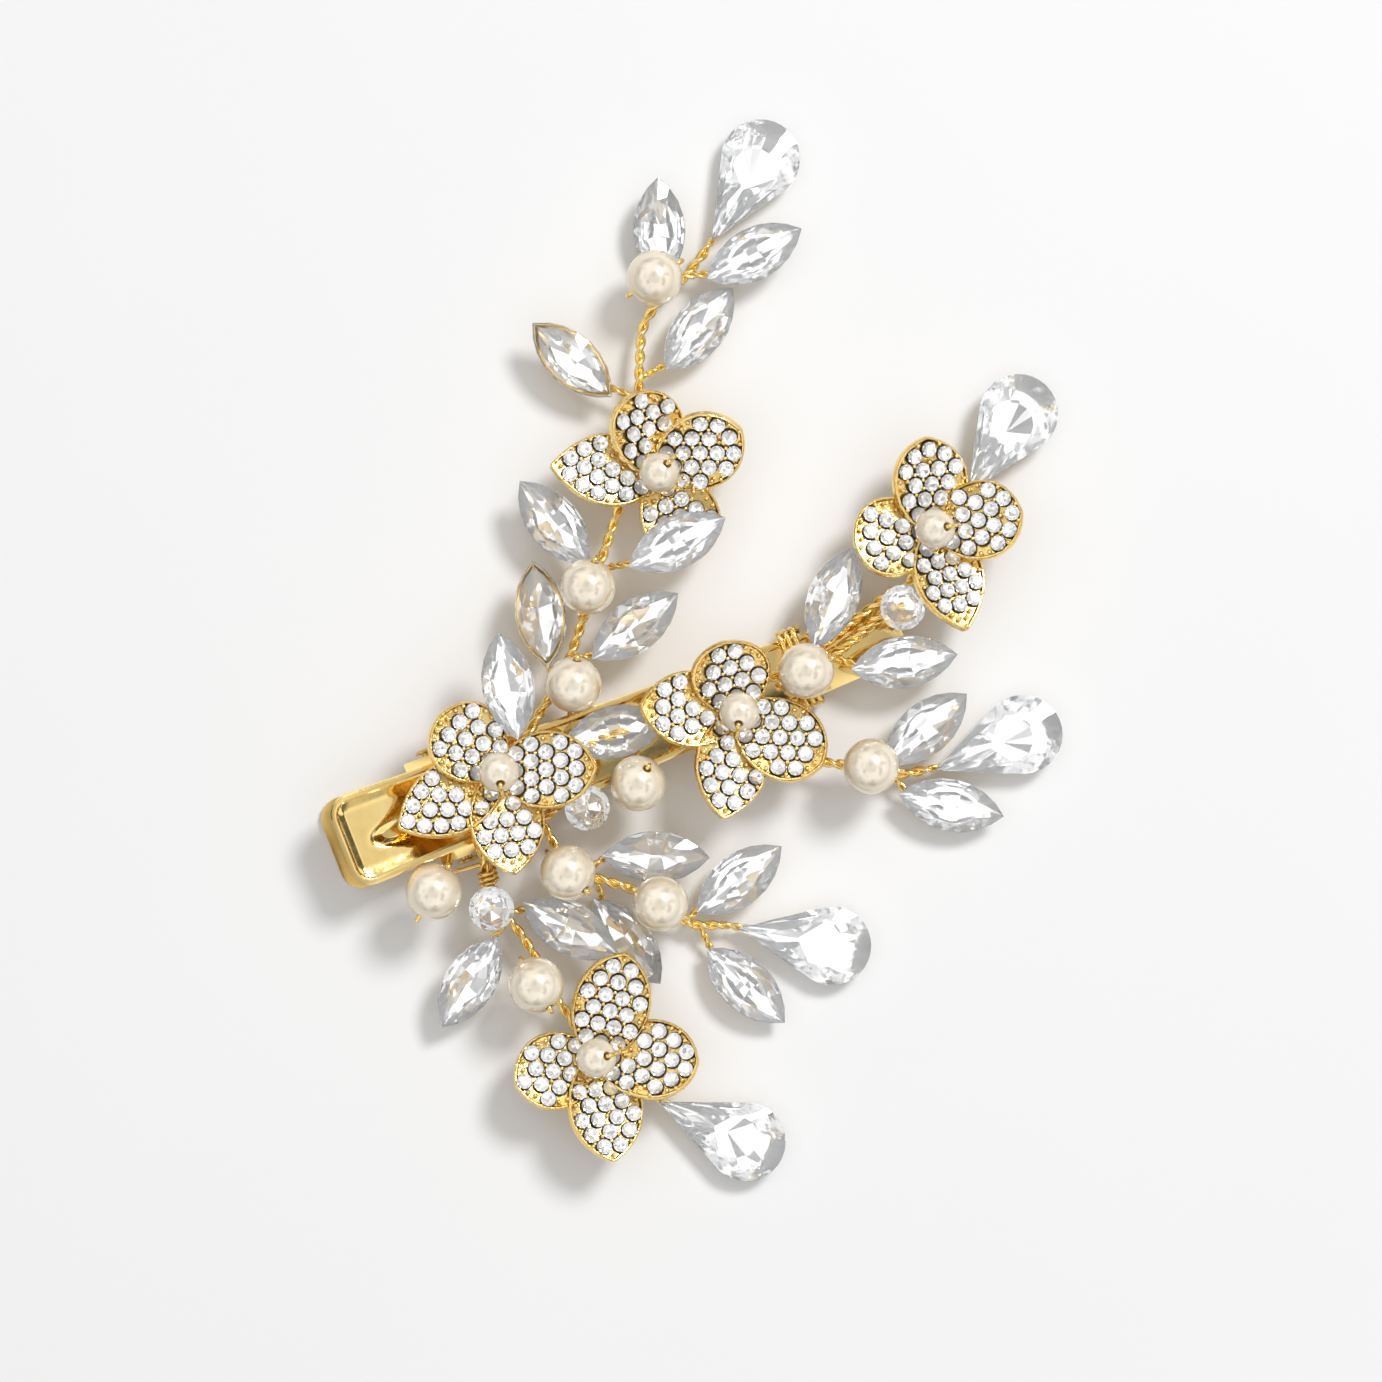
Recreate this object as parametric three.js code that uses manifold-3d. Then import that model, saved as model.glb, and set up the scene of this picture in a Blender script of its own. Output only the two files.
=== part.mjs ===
// Bridal hair clip: a spring clip whose upper arm carries a wired spray of crystals,
// pearls and pave flowers. Millimetres, +Z up. The clip lies on its lower arm: the origin
// is on the underside of that arm, below the hinge pin, and +X points to the jaw tip.

import * as THREE from 'three';
import { ConvexGeometry } from 'three/addons/geometries/ConvexGeometry.js';
import { mergeVertices } from 'three/addons/utils/BufferGeometryUtils.js';
import Module from 'manifold-3d';

const wasm = await Module();
wasm.setup();

// ---------------------------------------------------------------- driving sizes

// Clip
const jawLength = 51.5;            // hinge pin to jaw tip
const handleLength = 11.6;         // hinge pin to the end of the upper finger tab
const lowerTabReach = 1.6;         // how far the lower tab shows past the upper one
const handleWidth = 10;
const tipWidth = 6.4;
const armThickness = 0.8;
const handleRise = 14;             // degrees
const flangeDepth = 1.2;           // turned-down sides of the upper arm
const flangeEnd = 33;              // where the flanges run out, from the hinge pin
const tipPadLength = 4.5;          // flat end of the upper jaw
const tipBendLength = 4.5;         // slope just behind it
const tipBendDrop = 1.2;
const gripRidgeHeight = 0.5;
const gripRidgePitch = 2.4;
const gripRidgeCount = 7;
const gripRidgeStart = 18;
const earThickness = 0.7;
const earHalfLength = 2.6;
const pinDiameter = 1.2;
const pinHeadDiameter = 2.3;
const pinHeadThickness = 0.5;
const springWire = 0.7;
const springTurns = 4;

// Clearances
const boreClearance = 0.2;         // pin to ear bore, radial
const restGap = 0.3;               // pieces that rest on each other
const seatClearance = 0.15;        // crystal to its cup
const pearlWireClearance = 0.3;    // wire to pearl bore, radial
const turnGap = 0.15;              // between turns of a wound wire
const coilLift = 0.8;              // spring coil above the lower arm
const earMargin = 0.1;             // ear past the spring coil

// Crystals, pearls and flowers
const leafLength = 11.4;
const leafWidth = 5.8;
const dropLength = 14.3;
const dropWidth = 8.4;
const roundDiameter = 4.8;
const crownHeight = 1.0;
const girdleThickness = 0.3;
const pavilionDepth = 1.6;
const cupWall = 0.35;
const pearlDiameter = 6;
const centrePearlDiameter = 4.35;
const petalThickness = 1.0;
const petalWidth = 8.2;
const hubDiameter = 4.6;

// Wire
const stemDiameter = 1.2;          // two strands twisted together
const strandDiameter = 0.5;
const bindingDiameter = 0.6;
const bindingTurns = 3;

// ---------------------------------------------------------------- derived places

const stemRadius = stemDiameter / 2;
const coilRadius = pinDiameter / 2 + restGap + springWire / 2;
const coilOuterRadius = coilRadius + springWire / 2;
const earRadius = coilOuterRadius + earMargin;
const hingeHeight = armThickness + coilOuterRadius + coilLift;
const undersideAtHinge = hingeHeight + earRadius + restGap;
const undersideAtTip = armThickness + restGap;
const undersideAtBend = undersideAtTip + tipBendDrop;
const bendStart = jawLength - tipPadLength - tipBendLength;
const armSlope = (undersideAtHinge - undersideAtBend) / bendStart;
const handleSlope = Math.tan(THREE.MathUtils.degToRad(handleRise));
const boreRadius = pinDiameter / 2 + boreClearance;
const armTop = undersideAtHinge + armThickness;

// Half the clip's width at x, from the handle end to the jaw tip.
function halfWidth(x) {
  const share = (x + handleLength) / (handleLength + jawLength);
  return THREE.MathUtils.lerp(handleWidth, tipWidth, share) / 2;
}

// Height of a stem's axis where it lies along the top of the upper arm.
function laneHeight(x) {
  return armTop - armSlope * Math.max(x, 0) + restGap + stemRadius;
}

// ---------------------------------------------------------------- solids

function toSolid(geometry, matrix = new THREE.Matrix4()) {
  const bare = geometry.clone().applyMatrix4(matrix);
  bare.deleteAttribute('normal');
  bare.deleteAttribute('uv');
  const merged = mergeVertices(bare, 1e-4);
  return new wasm.Manifold(new wasm.Mesh({
    numProp: 3,
    vertProperties: new Float32Array(merged.attributes.position.array),
    triVerts: new Uint32Array(merged.index.array),
  }));
}

function toGeometry(solid) {
  const mesh = solid.getMesh();
  const geometry = new THREE.BufferGeometry();
  geometry.setAttribute('position', new THREE.BufferAttribute(mesh.vertProperties, 3));
  geometry.setIndex(new THREE.BufferAttribute(mesh.triVerts, 1));
  geometry.computeVertexNormals();
  return geometry;
}

function joined(solids) {
  return solids.reduce((sum, next) => sum.add(next));
}

// Plan or side outline pushed straight up by a height.
function slab(points, height, matrix) {
  const shape = new THREE.Shape(points.map(([x, y]) => new THREE.Vector2(x, y)));
  const geometry = new THREE.ExtrudeGeometry(shape, { depth: height, bevelEnabled: false });
  return toSolid(geometry, matrix);
}

// A side profile given in x and z, reaching from y = from to y = to.
function acrossClip(profile, from, to) {
  const upright = new THREE.Matrix4().makeRotationX(Math.PI / 2).setPosition(0, to, 0);
  return slab(profile, to - from, upright);
}

function disc(radius, from, to, sides = 20) {
  const geometry = new THREE.CylinderGeometry(radius, radius, to - from, sides);
  return toSolid(geometry, new THREE.Matrix4().makeTranslation(0, (from + to) / 2, hingeHeight));
}

function tube(points, diameter, stepLength = 3, sides = 6) {
  const curve = new THREE.CatmullRomCurve3(points.map((p) => new THREE.Vector3(...p)));
  const section = new THREE.Shape();
  section.absarc(0, 0, diameter / 2, 0, Math.PI * 2);
  const outline = new THREE.Shape(section.getPoints(sides / 2).slice(0, -1));
  const steps = Math.max(3, Math.round(curve.getLength() / stepLength));
  return new THREE.ExtrudeGeometry(outline, { steps, extrudePath: curve, bevelEnabled: false });
}

// A pose in the spray: place, heading in plan, pitch (outer end up) and roll, in degrees.
function pose(x, y, z, heading, pitch = 0, roll = 0) {
  const [yaw, nose, bank] = [heading, -pitch, roll].map(THREE.MathUtils.degToRad);
  const turn = new THREE.Quaternion().setFromEuler(new THREE.Euler(bank, nose, yaw, 'ZYX'));
  return new THREE.Matrix4().compose(new THREE.Vector3(x, y, z), turn, new THREE.Vector3(1, 1, 1));
}

// ---------------------------------------------------------------- the object

const clip = new THREE.Group();

const gold = { color: 0xd9ad4e, metalness: 1, roughness: 0.22 };
const crystal = { color: 0xe8ecee, metalness: 0, roughness: 0.03 };
const pearlCoat = { color: 0xf2e6cf, metalness: 0, roughness: 0.3 };
const springSteel = { color: 0xb9b7b0, metalness: 1, roughness: 0.3 };

function addPiece(name, geometry, finish, matrix) {
  const mesh = new THREE.Mesh(geometry, new THREE.MeshStandardMaterial(finish));
  mesh.name = name;
  if (matrix) matrix.decompose(mesh.position, mesh.quaternion, mesh.scale);
  clip.add(mesh);
}

// ---------------------------------------------------------------- clip arms

// Plan of an arm: tapered, with rounded corners at the tab and a round nose.
function armPlan(handleEnd, inset) {
  const tabCorner = 2.2;
  const noseCorner = 2;
  const arcSteps = 4;
  const corner = (x, y, radius, start) => {
    const arc = new THREE.EllipseCurve(x, y, radius, radius, start, start + Math.PI / 2);
    return arc.getPoints(arcSteps).map((p) => [p.x, p.y]);
  };
  const tab = halfWidth(-handleLength) - inset;
  const nose = halfWidth(jawLength) - inset;
  return [
    ...corner(jawLength - noseCorner - inset, -nose + noseCorner, noseCorner, -Math.PI / 2),
    ...corner(jawLength - noseCorner - inset, nose - noseCorner, noseCorner, 0),
    ...corner(-handleEnd + tabCorner + inset, tab - tabCorner, tabCorner, Math.PI / 2),
    ...corner(-handleEnd + tabCorner + inset, -tab + tabCorner, tabCorner, Math.PI),
  ];
}

function planSlab(handleEnd, inset) {
  const tall = 30;
  return slab(armPlan(handleEnd, inset), tall, new THREE.Matrix4().makeTranslation(0, 0, -tall / 4));
}

// Ear: round about the pin, widening to where it meets its arm.
const earSteps = 8;
function ear(rootHeight, innerFace, side) {
  const profile = [[-earHalfLength, rootHeight], [earHalfLength, rootHeight]];
  const lift = Math.sign(hingeHeight - rootHeight);
  for (let i = 0; i <= earSteps; i += 1) {
    const angle = (lift * Math.PI * i) / earSteps;
    profile.push([earRadius * Math.cos(angle), hingeHeight + earRadius * Math.sin(angle)]);
  }
  const from = side > 0 ? innerFace : -innerFace - earThickness;
  return acrossClip(lift > 0 ? profile : profile.reverse(), from, from + earThickness);
}

const bore = () => disc(boreRadius, -handleWidth, handleWidth);
const lowerEarInner = halfWidth(0) - earThickness;
const upperEarInner = halfWidth(0) + restGap;

function lowerArm() {
  const end = handleLength + lowerTabReach;
  const profile = [[-end, 0], [jawLength, 0], [jawLength, armThickness]];
  for (let i = gripRidgeCount - 1; i >= 0; i -= 1) {
    const x = gripRidgeStart + i * gripRidgePitch;
    const half = gripRidgePitch / 3;
    profile.push([x + half, armThickness]);
    profile.push([x, armThickness + gripRidgeHeight]);
    profile.push([x - half, armThickness]);
  }
  profile.push([-end, armThickness]);
  const plate = acrossClip(profile, -handleWidth, handleWidth).intersect(planSlab(end, 0));
  const sunk = armThickness / 2;
  const ears = [1, -1].map((side) => ear(sunk, lowerEarInner, side));
  return joined([plate, ...ears]).subtract(bore());
}

function upperArm() {
  const underside = [
    [-handleLength, undersideAtHinge + handleLength * handleSlope],
    [0, undersideAtHinge],
    [bendStart, undersideAtBend],
    [bendStart + tipBendLength, undersideAtTip],
    [jawLength, undersideAtTip],
  ];
  const topside = underside.map(([x, z]) => [x, z + armThickness]).reverse();
  const sheet = acrossClip([...underside, ...topside], -handleWidth, handleWidth)
    .intersect(planSlab(handleLength, 0));
  const flangeRoot = (x) => undersideAtHinge - armSlope * x + armThickness / 2;
  const flangeProfile = [
    [-handleLength, undersideAtHinge + handleLength * handleSlope - flangeDepth / 2],
    [0, undersideAtHinge - flangeDepth],
    [flangeEnd - flangeDepth * 3, undersideAtHinge - armSlope * flangeEnd - flangeDepth],
    [flangeEnd, flangeRoot(flangeEnd)],
    [0, flangeRoot(0)],
    [-handleLength, flangeRoot(0) + handleLength * handleSlope],
  ];
  const flanges = acrossClip(flangeProfile, -handleWidth, handleWidth)
    .intersect(planSlab(handleLength, 0))
    .subtract(planSlab(handleLength, armThickness));
  const lugReach = upperEarInner + earThickness;
  const rootTop = armTop - armThickness / 4;
  const lugs = [1, -1].map((side) => {
    const from = side > 0 ? halfWidth(0) - armThickness : -lugReach;
    const profile = [
      [-earHalfLength, undersideAtHinge], [earHalfLength, undersideAtHinge],
      [earHalfLength, rootTop], [-earHalfLength, rootTop],
    ];
    return acrossClip(profile, from, from + lugReach - halfWidth(0) + armThickness);
  });
  const ears = [1, -1].map((side) => ear(rootTop, upperEarInner, side));
  const body = joined([sheet, flanges, ...lugs, ...ears]);
  const roomReach = halfWidth(0) + restGap / 2;
  const lowerEarRoom = disc(earRadius + restGap, -roomReach, roomReach);
  return body.subtract(bore()).subtract(lowerEarRoom);
}

addPiece('lower_arm', toGeometry(lowerArm()), gold);
addPiece('upper_arm', toGeometry(upperArm()), gold);

// ---------------------------------------------------------------- hinge pin and spring

const pinReach = upperEarInner + earThickness + restGap;
const pin = joined([
  disc(pinDiameter / 2, -pinReach - pinHeadThickness / 2, pinReach + pinHeadThickness / 2, 12),
  disc(pinHeadDiameter / 2, pinReach, pinReach + pinHeadThickness, 16),
  disc(pinHeadDiameter / 2, -pinReach - pinHeadThickness, -pinReach, 16),
]);
addPiece('hinge_pin', toGeometry(pin), gold);

// Torsion spring round the pin. The coil and its lower leg stay with the lower arm; the
// last half turn and the upper leg press up under the finger tab and move with it.
const springPitch = springWire + turnGap;
const coilWidth = springTurns * springPitch;
const legSetBack = 2.5;            // spring legs short of the tab's end
const legReach = handleLength - legSetBack;
const springStep = 1.1;            // length of the wire's straight facets

function coilPoint(turn) {
  const angle = Math.PI * 2 * turn - Math.PI / 2;
  return [
    coilRadius * Math.cos(angle),
    turn * springPitch - coilWidth / 2 - springPitch / 2,
    hingeHeight + coilRadius * Math.sin(angle),
  ];
}

const coilSteps = 12;
const lowerLegHeight = armThickness + restGap + springWire / 2;
const legDip = 0.2;                // the lower leg leaves the coil a little below it
const coilRoute = [[-legReach, coilPoint(0)[1], lowerLegHeight]];
coilRoute.push([-legReach / 3, coilPoint(0)[1], hingeHeight - coilRadius - legDip]);
for (let i = 0; i <= springTurns * coilSteps; i += 1) coilRoute.push(coilPoint(i / coilSteps));
addPiece('spring_coil', tube(coilRoute, springWire, springStep), springSteel);

const upperLegY = coilPoint(springTurns)[1] + springWire + turnGap;
const upperLegEnd = undersideAtHinge + legReach * handleSlope - restGap - springWire / 2;
const upperLegRoute = [];
const lastTurnSteps = 7;
for (let i = 0; i <= lastTurnSteps; i += 1) {
  const angle = THREE.MathUtils.lerp(-Math.PI / 3, Math.PI / 2, i / lastTurnSteps);
  const reach = [coilRadius * Math.cos(angle), hingeHeight + coilRadius * Math.sin(angle)];
  upperLegRoute.push([reach[0], upperLegY, reach[1]]);
}
upperLegRoute.push([-legReach, upperLegY, upperLegEnd]);
addPiece('spring_upper_leg', tube(upperLegRoute, springWire, springStep), springSteel);

// ---------------------------------------------------------------- crystals

// Leaf-shaped outline: two equal arcs meeting in points on the x axis.
function leafOutline(length, width, pointsPerSide = 5) {
  const half = length / 2;
  const rise = width / 2;
  const radius = (half * half + rise * rise) / (2 * rise);
  const reach = Math.asin(half / radius);
  const outline = [];
  for (const side of [1, -1]) {
    for (let i = 0; i < pointsPerSide; i += 1) {
      const angle = side * THREE.MathUtils.lerp(reach, -reach, i / pointsPerSide);
      outline.push([radius * Math.sin(angle), side * (radius * Math.cos(angle) - radius + rise)]);
    }
  }
  return outline;
}

// Drop-shaped outline: a point at the inner end swelling into a round outer end, whose arc
// stops dropTaper radians past where straight sides would touch it.
const dropTaper = 0.22;
function dropOutline(length, width, points = 14) {
  const radius = width / 2;
  const centre = length / 2 - radius;
  const outline = [[-length / 2, 0]];
  const open = Math.acos(radius / (length - radius)) + dropTaper;
  for (let i = 1; i < points; i += 1) {
    const angle = THREE.MathUtils.lerp(Math.PI - open, open - Math.PI, (i - 1) / (points - 2));
    outline.push([centre + radius * Math.cos(angle), -radius * Math.sin(angle)]);
  }
  return outline;
}

function roundOutline(diameter, points = 8) {
  return Array.from({ length: points }, (_, i) => {
    const angle = (Math.PI * 2 * i) / points;
    return [(diameter / 2) * Math.cos(angle), (diameter / 2) * Math.sin(angle)];
  });
}

function ring(outline, scale, z, grow = 0) {
  return outline.map(([x, y]) => {
    const reach = Math.hypot(x, y) || 1;
    const share = scale + grow / reach;
    return new THREE.Vector3(x * share, y * share, z);
  });
}

function midpoints(outline) {
  return outline.map(([x, y], i) => {
    const [nextX, nextY] = outline[(i + 1) % outline.length];
    return [(x + nextX) / 2, (y + nextY) / 2];
  });
}

// Faceted crystal: table, crown, girdle and a pavilion that ends in a short keel. Each size is
// a share: of the outline for a ring, and of the crown or the pavilion for a height.
const tableSize = 0.6;
const crownBreak = { size: 0.87, height: 0.62 };
const pavilionBreak = { size: 0.66, depth: 0.56 };
const keelSize = 0.12;
function crystalHull(outline, grow = 0) {
  const middle = midpoints(outline);
  const keelEnd = outline[0][0] * keelSize;
  const keel = [[keelEnd, 0], [-keelEnd, 0]];
  return new ConvexGeometry([
    ...ring(outline, tableSize, crownHeight + grow, grow),
    ...ring(middle, crownBreak.size, crownHeight * crownBreak.height + grow, grow),
    ...ring(outline, 1, girdleThickness / 2 + grow, grow),
    ...ring(outline, 1, -girdleThickness / 2 - grow, grow),
    ...ring(middle, pavilionBreak.size, -pavilionDepth * pavilionBreak.depth - grow, grow),
    ...ring(keel, 1, -pavilionDepth - grow),
  ]);
}

// Setting cup under a crystal, with the crystal's seat still to be cut out of it.
const twigDiameter = 0.9;
const cupDepth = pavilionDepth + seatClearance + cupWall;
const cupRim = 0.96;
const cupFloor = 0.62;
function cupHull(outline) {
  const everyOther = outline.filter((_, i) => i % 2 === 0);
  return new ConvexGeometry([
    ...ring(outline, cupRim, -girdleThickness - seatClearance),
    ...ring(everyOther, cupFloor, -cupDepth),
  ]);
}

const leaf = leafOutline(leafLength, leafWidth);
const drop = dropOutline(dropLength, dropWidth);
const round = roundOutline(roundDiameter);

// ---------------------------------------------------------------- the spray's layout

// Each stem is one body: the stem itself, its twigs and the setting cups on them.
// Routes and places: x and y from the hinge pin, z above the top of the upper arm at the pin.
// lane marks a point that lies along the upper arm, or a little above or below that line, and
// onTop one that is measured from the top of the stems lying there.
const lane = (x, y, lift = 0) => [x, y, laneHeight(x) - armTop + lift];
const onTop = (x, y, gap) => lane(x, y, stemRadius + gap);
const rightEdge = (x) => -halfWidth(x);

const stems = {
  stem_top: [[
    lane(2.6, 2.5), lane(6, 2.5), lane(9.2, 2.9), lane(12.5, 5.3, 0.05), [16.3, 8.3, -1.1],
    [20.6, 13.1, -1.6], [25.2, 18.9, -1.8], [28.6, 23, -1.9], [33.2, 29.5, -2],
    [35.7, 35.6, -2.2], [37.8, 39.7, -2.9], [40.3, 41.5, -3.1], [43.8, 43, -3.3], [46.6, 44.6, -3.5],
  ]],
  stem_front: [
    [lane(3.2, 0.8), lane(8, 0.9), lane(16, 0.6), lane(26, 0.4), lane(35, 0.2), lane(41, 0),
      lane(44.5, 0.4), lane(47.2, 1.3, 0.1), [50, 2.2, -1.6], [53.6, 4, -1.2], [58.2, 7.4, -1.5],
      [61, 9.2, -1.9]],
    [lane(27.5, 0.4), lane(30.5, -0.9), lane(34, -4.7, 0.5), [38.6, -10, -1.8], [42.2, -12.1, -2.3],
      [45.2, -14.1, -2.8], [48.6, -14.9, -3.2]],
  ],
  stem_side: [[
    lane(3.6, -1), lane(6, -1.6), lane(8.6, rightEdge(8.6) - 0.8, -0.3), [9.4, -9, -0.9],
    [11.4, -12.3, -1.6], [14.8, -15.1, -2.2], [17.3, -17.7, -2.6], [19.2, -20.8, -3], [22.6, -22.4, -3.4],
  ]],
  stem_bottom: [[
    lane(5.4, -3.2), lane(3.9, -3.2), lane(2.2, -4, 0.15), [1.7, -6.4, 0.4], [1.4, -9, -0.2],
    [0.8, -11.8, -0.9], [2, -14.2, -1.3], [2.9, -18.2, -1.7], [3, -21.6, -1.8],
    [3.9, -25, -1.9], [5.2, -30.3, -1.9], [8, -35, -2.9], [9, -36.4, -3.4],
  ]],
};

// Leaf crystals: stem, inner tip x, y, z, heading, pitch, roll.
const leaves = [
  ['stem_top', 41, 43.1, -3.65, 70, 10, -4],
  ['stem_top', 45.65, 41.71, -1.3, 7, -2, 6],
  ['stem_top', 38.22, 34.39, -1.71, 30, -9, 8],
  ['stem_top', 31.89, 33.8, -1.3, 116, 5, -16],
  ['stem_top', 27.04, 16.31, 3.8, 6, -3, 4],
  ['stem_top', 23.16, 18.19, -0.9, 108, 4, -8],
  ['stem_top', 15.32, 9.65, -0.3, 77, 3, 18],
  ['stem_top', 19.92, 8.83, 0.4, 16, -2, -6],
  ['stem_top', 9.71, 3.71, 4.5, 79, -2, -10],
  ['stem_front', ...onTop(13.76, 1.59, 0.64), -8, 0, 0],
  ['stem_front', ...lane(42.09, 1.36, 1.75), 48, 0, 12],
  ['stem_front', 44.86, -2.12, -0.1, -13, -4, 4],
  ['stem_front', 44.61, -12.65, -1.2, 19, -2, -8],
  ['stem_front', 44.82, -16.2, -2.4, -33, -2, 6],
  ['stem_bottom', 0.13, -14.79, -0.9, -143, -6, -14],
  ['stem_bottom', 3.84, -12.43, -0.2, -50, -0.5, 4],
  ['stem_side', 10.83, -14.85, -3.1, -73, -2, 14],
  ['stem_side', 13.32, -10.87, -1.1, -22, 2, 12],
  ['stem_side', 20.46, -20.16, -2.1, 17, -3, 5],
  ['stem_side', 20.09, -24.03, -3.1, -65, -1, -5],
];

// Drop crystals: stem, inner point x, y, z, heading, pitch, roll.
const drops = [
  ['stem_top', 47.7, 45.4, -3.4, 38, 0, -3],
  ['stem_front', 63.1, 10.7, -1.7, 36, -5, 3],
  ['stem_front', 49.3, -15.3, -3.1, 1, -1, -3],
  ['stem_side', 23.9, -23.2, -3.3, -32, 0, 4],
  ['stem_bottom', 9.5, -37.3, -3.3, -46, 0, 3],
];

// Round crystals: stem, x, y, z, heading, pitch, roll.
const rounds = [
  ['stem_side', ...lane(13.8, rightEdge(13.8) - 1.3, 1.25), -60, -6, 0],
  ['stem_front', 52.3, 2, 0.6, 20, -4, 0],
  ['stem_bottom', 0.6, -11.8, 1.2, -90, -8, 0],
];

// Pearls: stem, x, y and height of the underside, heading of the bore, and whether its wire
// ends in a short tail instead of returning to the stem.
const pearlRadius = pearlDiameter / 2;
const besideLeaf = leafWidth / 2 + pearlRadius;
const overBinding = bindingDiameter + restGap * 2;
const pearls = [
  ['stem_top', 40.6, 43.7, -2.4, 12],
  ['stem_top', 22.3, 16, -0.6, 53],
  ['stem_top', 17.2, 7, -0.1, 60],
  ['stem_front', ...onTop(19.7, 0.8 - besideLeaf, -0.6), -143, true],
  ['stem_front', ...onTop(37.4 + pearlRadius, -0.5, overBinding), 5],
  ['stem_front', 43.1, -12.3, -1, -30],
  ['stem_bottom', -4.3, rightEdge(-4.3) - 0.1 - pearlRadius, -0.2, -142, true],
  ['stem_side', 9.5, -8.1 - pearlRadius, 0, -65],
  ['stem_side', 17.3, -17.7, -1.4, -50],
  ['stem_bottom', 2.1, -20.9, -0.6, -80],
];

// Flowers: stem, centre x, y, z of the petals' root and the heading of its pearl's hook, then
// heading, length, fullness, pitch and roll of each petal. A full petal ends nearly round.
const flowers = [
  ['stem_top', 33.6, 24.4, 0.1, 24, [
    [85, 9, 0.95, 8, 26], [7, 10, 0.88, 8, 18],
    [155, 11.7, 0.74, 8, 8], [-86, 10, 0.9, -3, -6],
  ]],
  ['stem_front', ...onTop(6.7, 1.3, 2.05), -101, [
    [116, 8.8, 0.95, 8, 14], [-19, 10.4, 0.86, 8, -6],
    [-172, 12.3, 0.76, 8, 10], [-103, 11, 0.8, 6, -10],
  ]],
  ['stem_front', ...onTop(32.3, -2, 2.1), -116, [
    [82, 7.8, 0.95, 12, 12], [155, 10.8, 0.82, 12, 6],
    [-120, 11.5, 0.78, 6, -12], [-54, 10.5, 0.92, 6, -8],
  ]],
  ['stem_front', 58.3, 8.4, 0.6, -11, [
    [74, 9.9, 0.88, 6, 18], [-10, 9.6, 0.92, 8, -8],
    [169, 8.7, 0.95, 8, 10], [-94, 11.3, 0.74, 6, -20],
  ]],
  ['stem_bottom', 5.2, -30.3, -0.15, -6, [
    [53, 11.6, 0.86, 7, 6], [-24, 10.9, 0.93, 7, -12],
    [178, 9.2, 0.88, 7, 10], [-102, 11.3, 0.82, 7, -16],
  ]],
];

// ---------------------------------------------------------------- wires

const onArm = ([x, y, z]) => [x, y, z + armTop];
const stemCurves = {};
const wireWork = {};
for (const [name, routes] of Object.entries(stems)) {
  stemCurves[name] = routes.map((route) => {
    return new THREE.CatmullRomCurve3(route.map((point) => new THREE.Vector3(...onArm(point))));
  });
  wireWork[name] = routes.map((route) => toSolid(tube(route.map(onArm), stemDiameter)));
}
const seats = Object.fromEntries(Object.keys(stems).map((name) => [name, []]));

function nearestOnStem(stem, place) {
  const samples = stemCurves[stem].flatMap((curve) => curve.getPoints(160));
  return samples.reduce((best, next) => {
    return next.distanceTo(place) < best.distanceTo(place) ? next : best;
  });
}

const threadStep = 1.3;            // length of the straight facets of a single strand
const twigStep = 2.6;

function addWire(stem, points, diameter) {
  const route = points.map((point) => point.toArray());
  const step = diameter < twigDiameter ? threadStep : twigStep;
  wireWork[stem].push(toSolid(tube(route, diameter, step, 4)));
}

// A crystal in its cup, and the twig that carries the cup from the stem. The twig starts under
// the cup and leaves it near the inner tip; its foot is the nearest place on the stem.
const twigStart = 0.3;             // shares of the way from the cup's middle to its tip
const twigElbow = 0.72;
const elbowLift = 0.2;
const twigReach = 1.2;
function addCrystal(name, stem, outline, place) {
  const at = (x, y, z) => new THREE.Vector3(x, y, z).applyMatrix4(place);
  addPiece(name, crystalHull(outline), crystal, place);
  wireWork[stem].push(toSolid(cupHull(outline), place));
  seats[stem].push(toSolid(crystalHull(outline, seatClearance), place));
  const inner = Math.min(...outline.map(([x]) => x));
  const twigDrop = -cupDepth + twigDiameter / 3;
  const elbow = at(inner * twigElbow, 0, twigDrop + elbowLift);
  const foot = nearestOnStem(stem, at(inner - twigReach, 0, twigDrop));
  addWire(stem, [at(inner * twigStart, 0, twigDrop), elbow, foot], twigDiameter);
}

const number = (i) => String(i + 1).padStart(2, '0');

const fromInnerTip = (length) => new THREE.Matrix4().makeTranslation(length / 2, 0, 0);

leaves.forEach(([stem, x, y, z, heading, pitch, roll], i) => {
  const place = pose(x, y, z + armTop, heading, pitch, roll).multiply(fromInnerTip(leafLength));
  addCrystal(`leaf_crystal_${number(i)}`, stem, leaf, place);
});

drops.forEach(([stem, x, y, z, heading, pitch, roll], i) => {
  const place = pose(x, y, z + armTop, heading, pitch, roll).multiply(fromInnerTip(dropLength));
  addCrystal(`drop_crystal_${number(i)}`, stem, drop, place);
});

rounds.forEach(([stem, x, y, z, heading, pitch, roll], i) => {
  addCrystal(`round_crystal_${number(i)}`, stem, round, pose(x, y, z + armTop, heading, pitch, roll));
});

// ---------------------------------------------------------------- pearls

// Bead with a bore along its z axis, turned from one closed profile.
function bead(diameter, wireDiameter, sides, arcSteps) {
  const radius = diameter / 2;
  const hole = wireDiameter / 2 + pearlWireClearance;
  const start = Math.acos(hole / radius);
  const profile = [];
  for (let i = 0; i <= arcSteps; i += 1) {
    const angle = THREE.MathUtils.lerp(-start, start, i / arcSteps);
    profile.push(new THREE.Vector2(radius * Math.cos(angle), radius * Math.sin(angle)));
  }
  profile.push(profile[0].clone());
  return new THREE.LatheGeometry(profile, sides);
}

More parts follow.
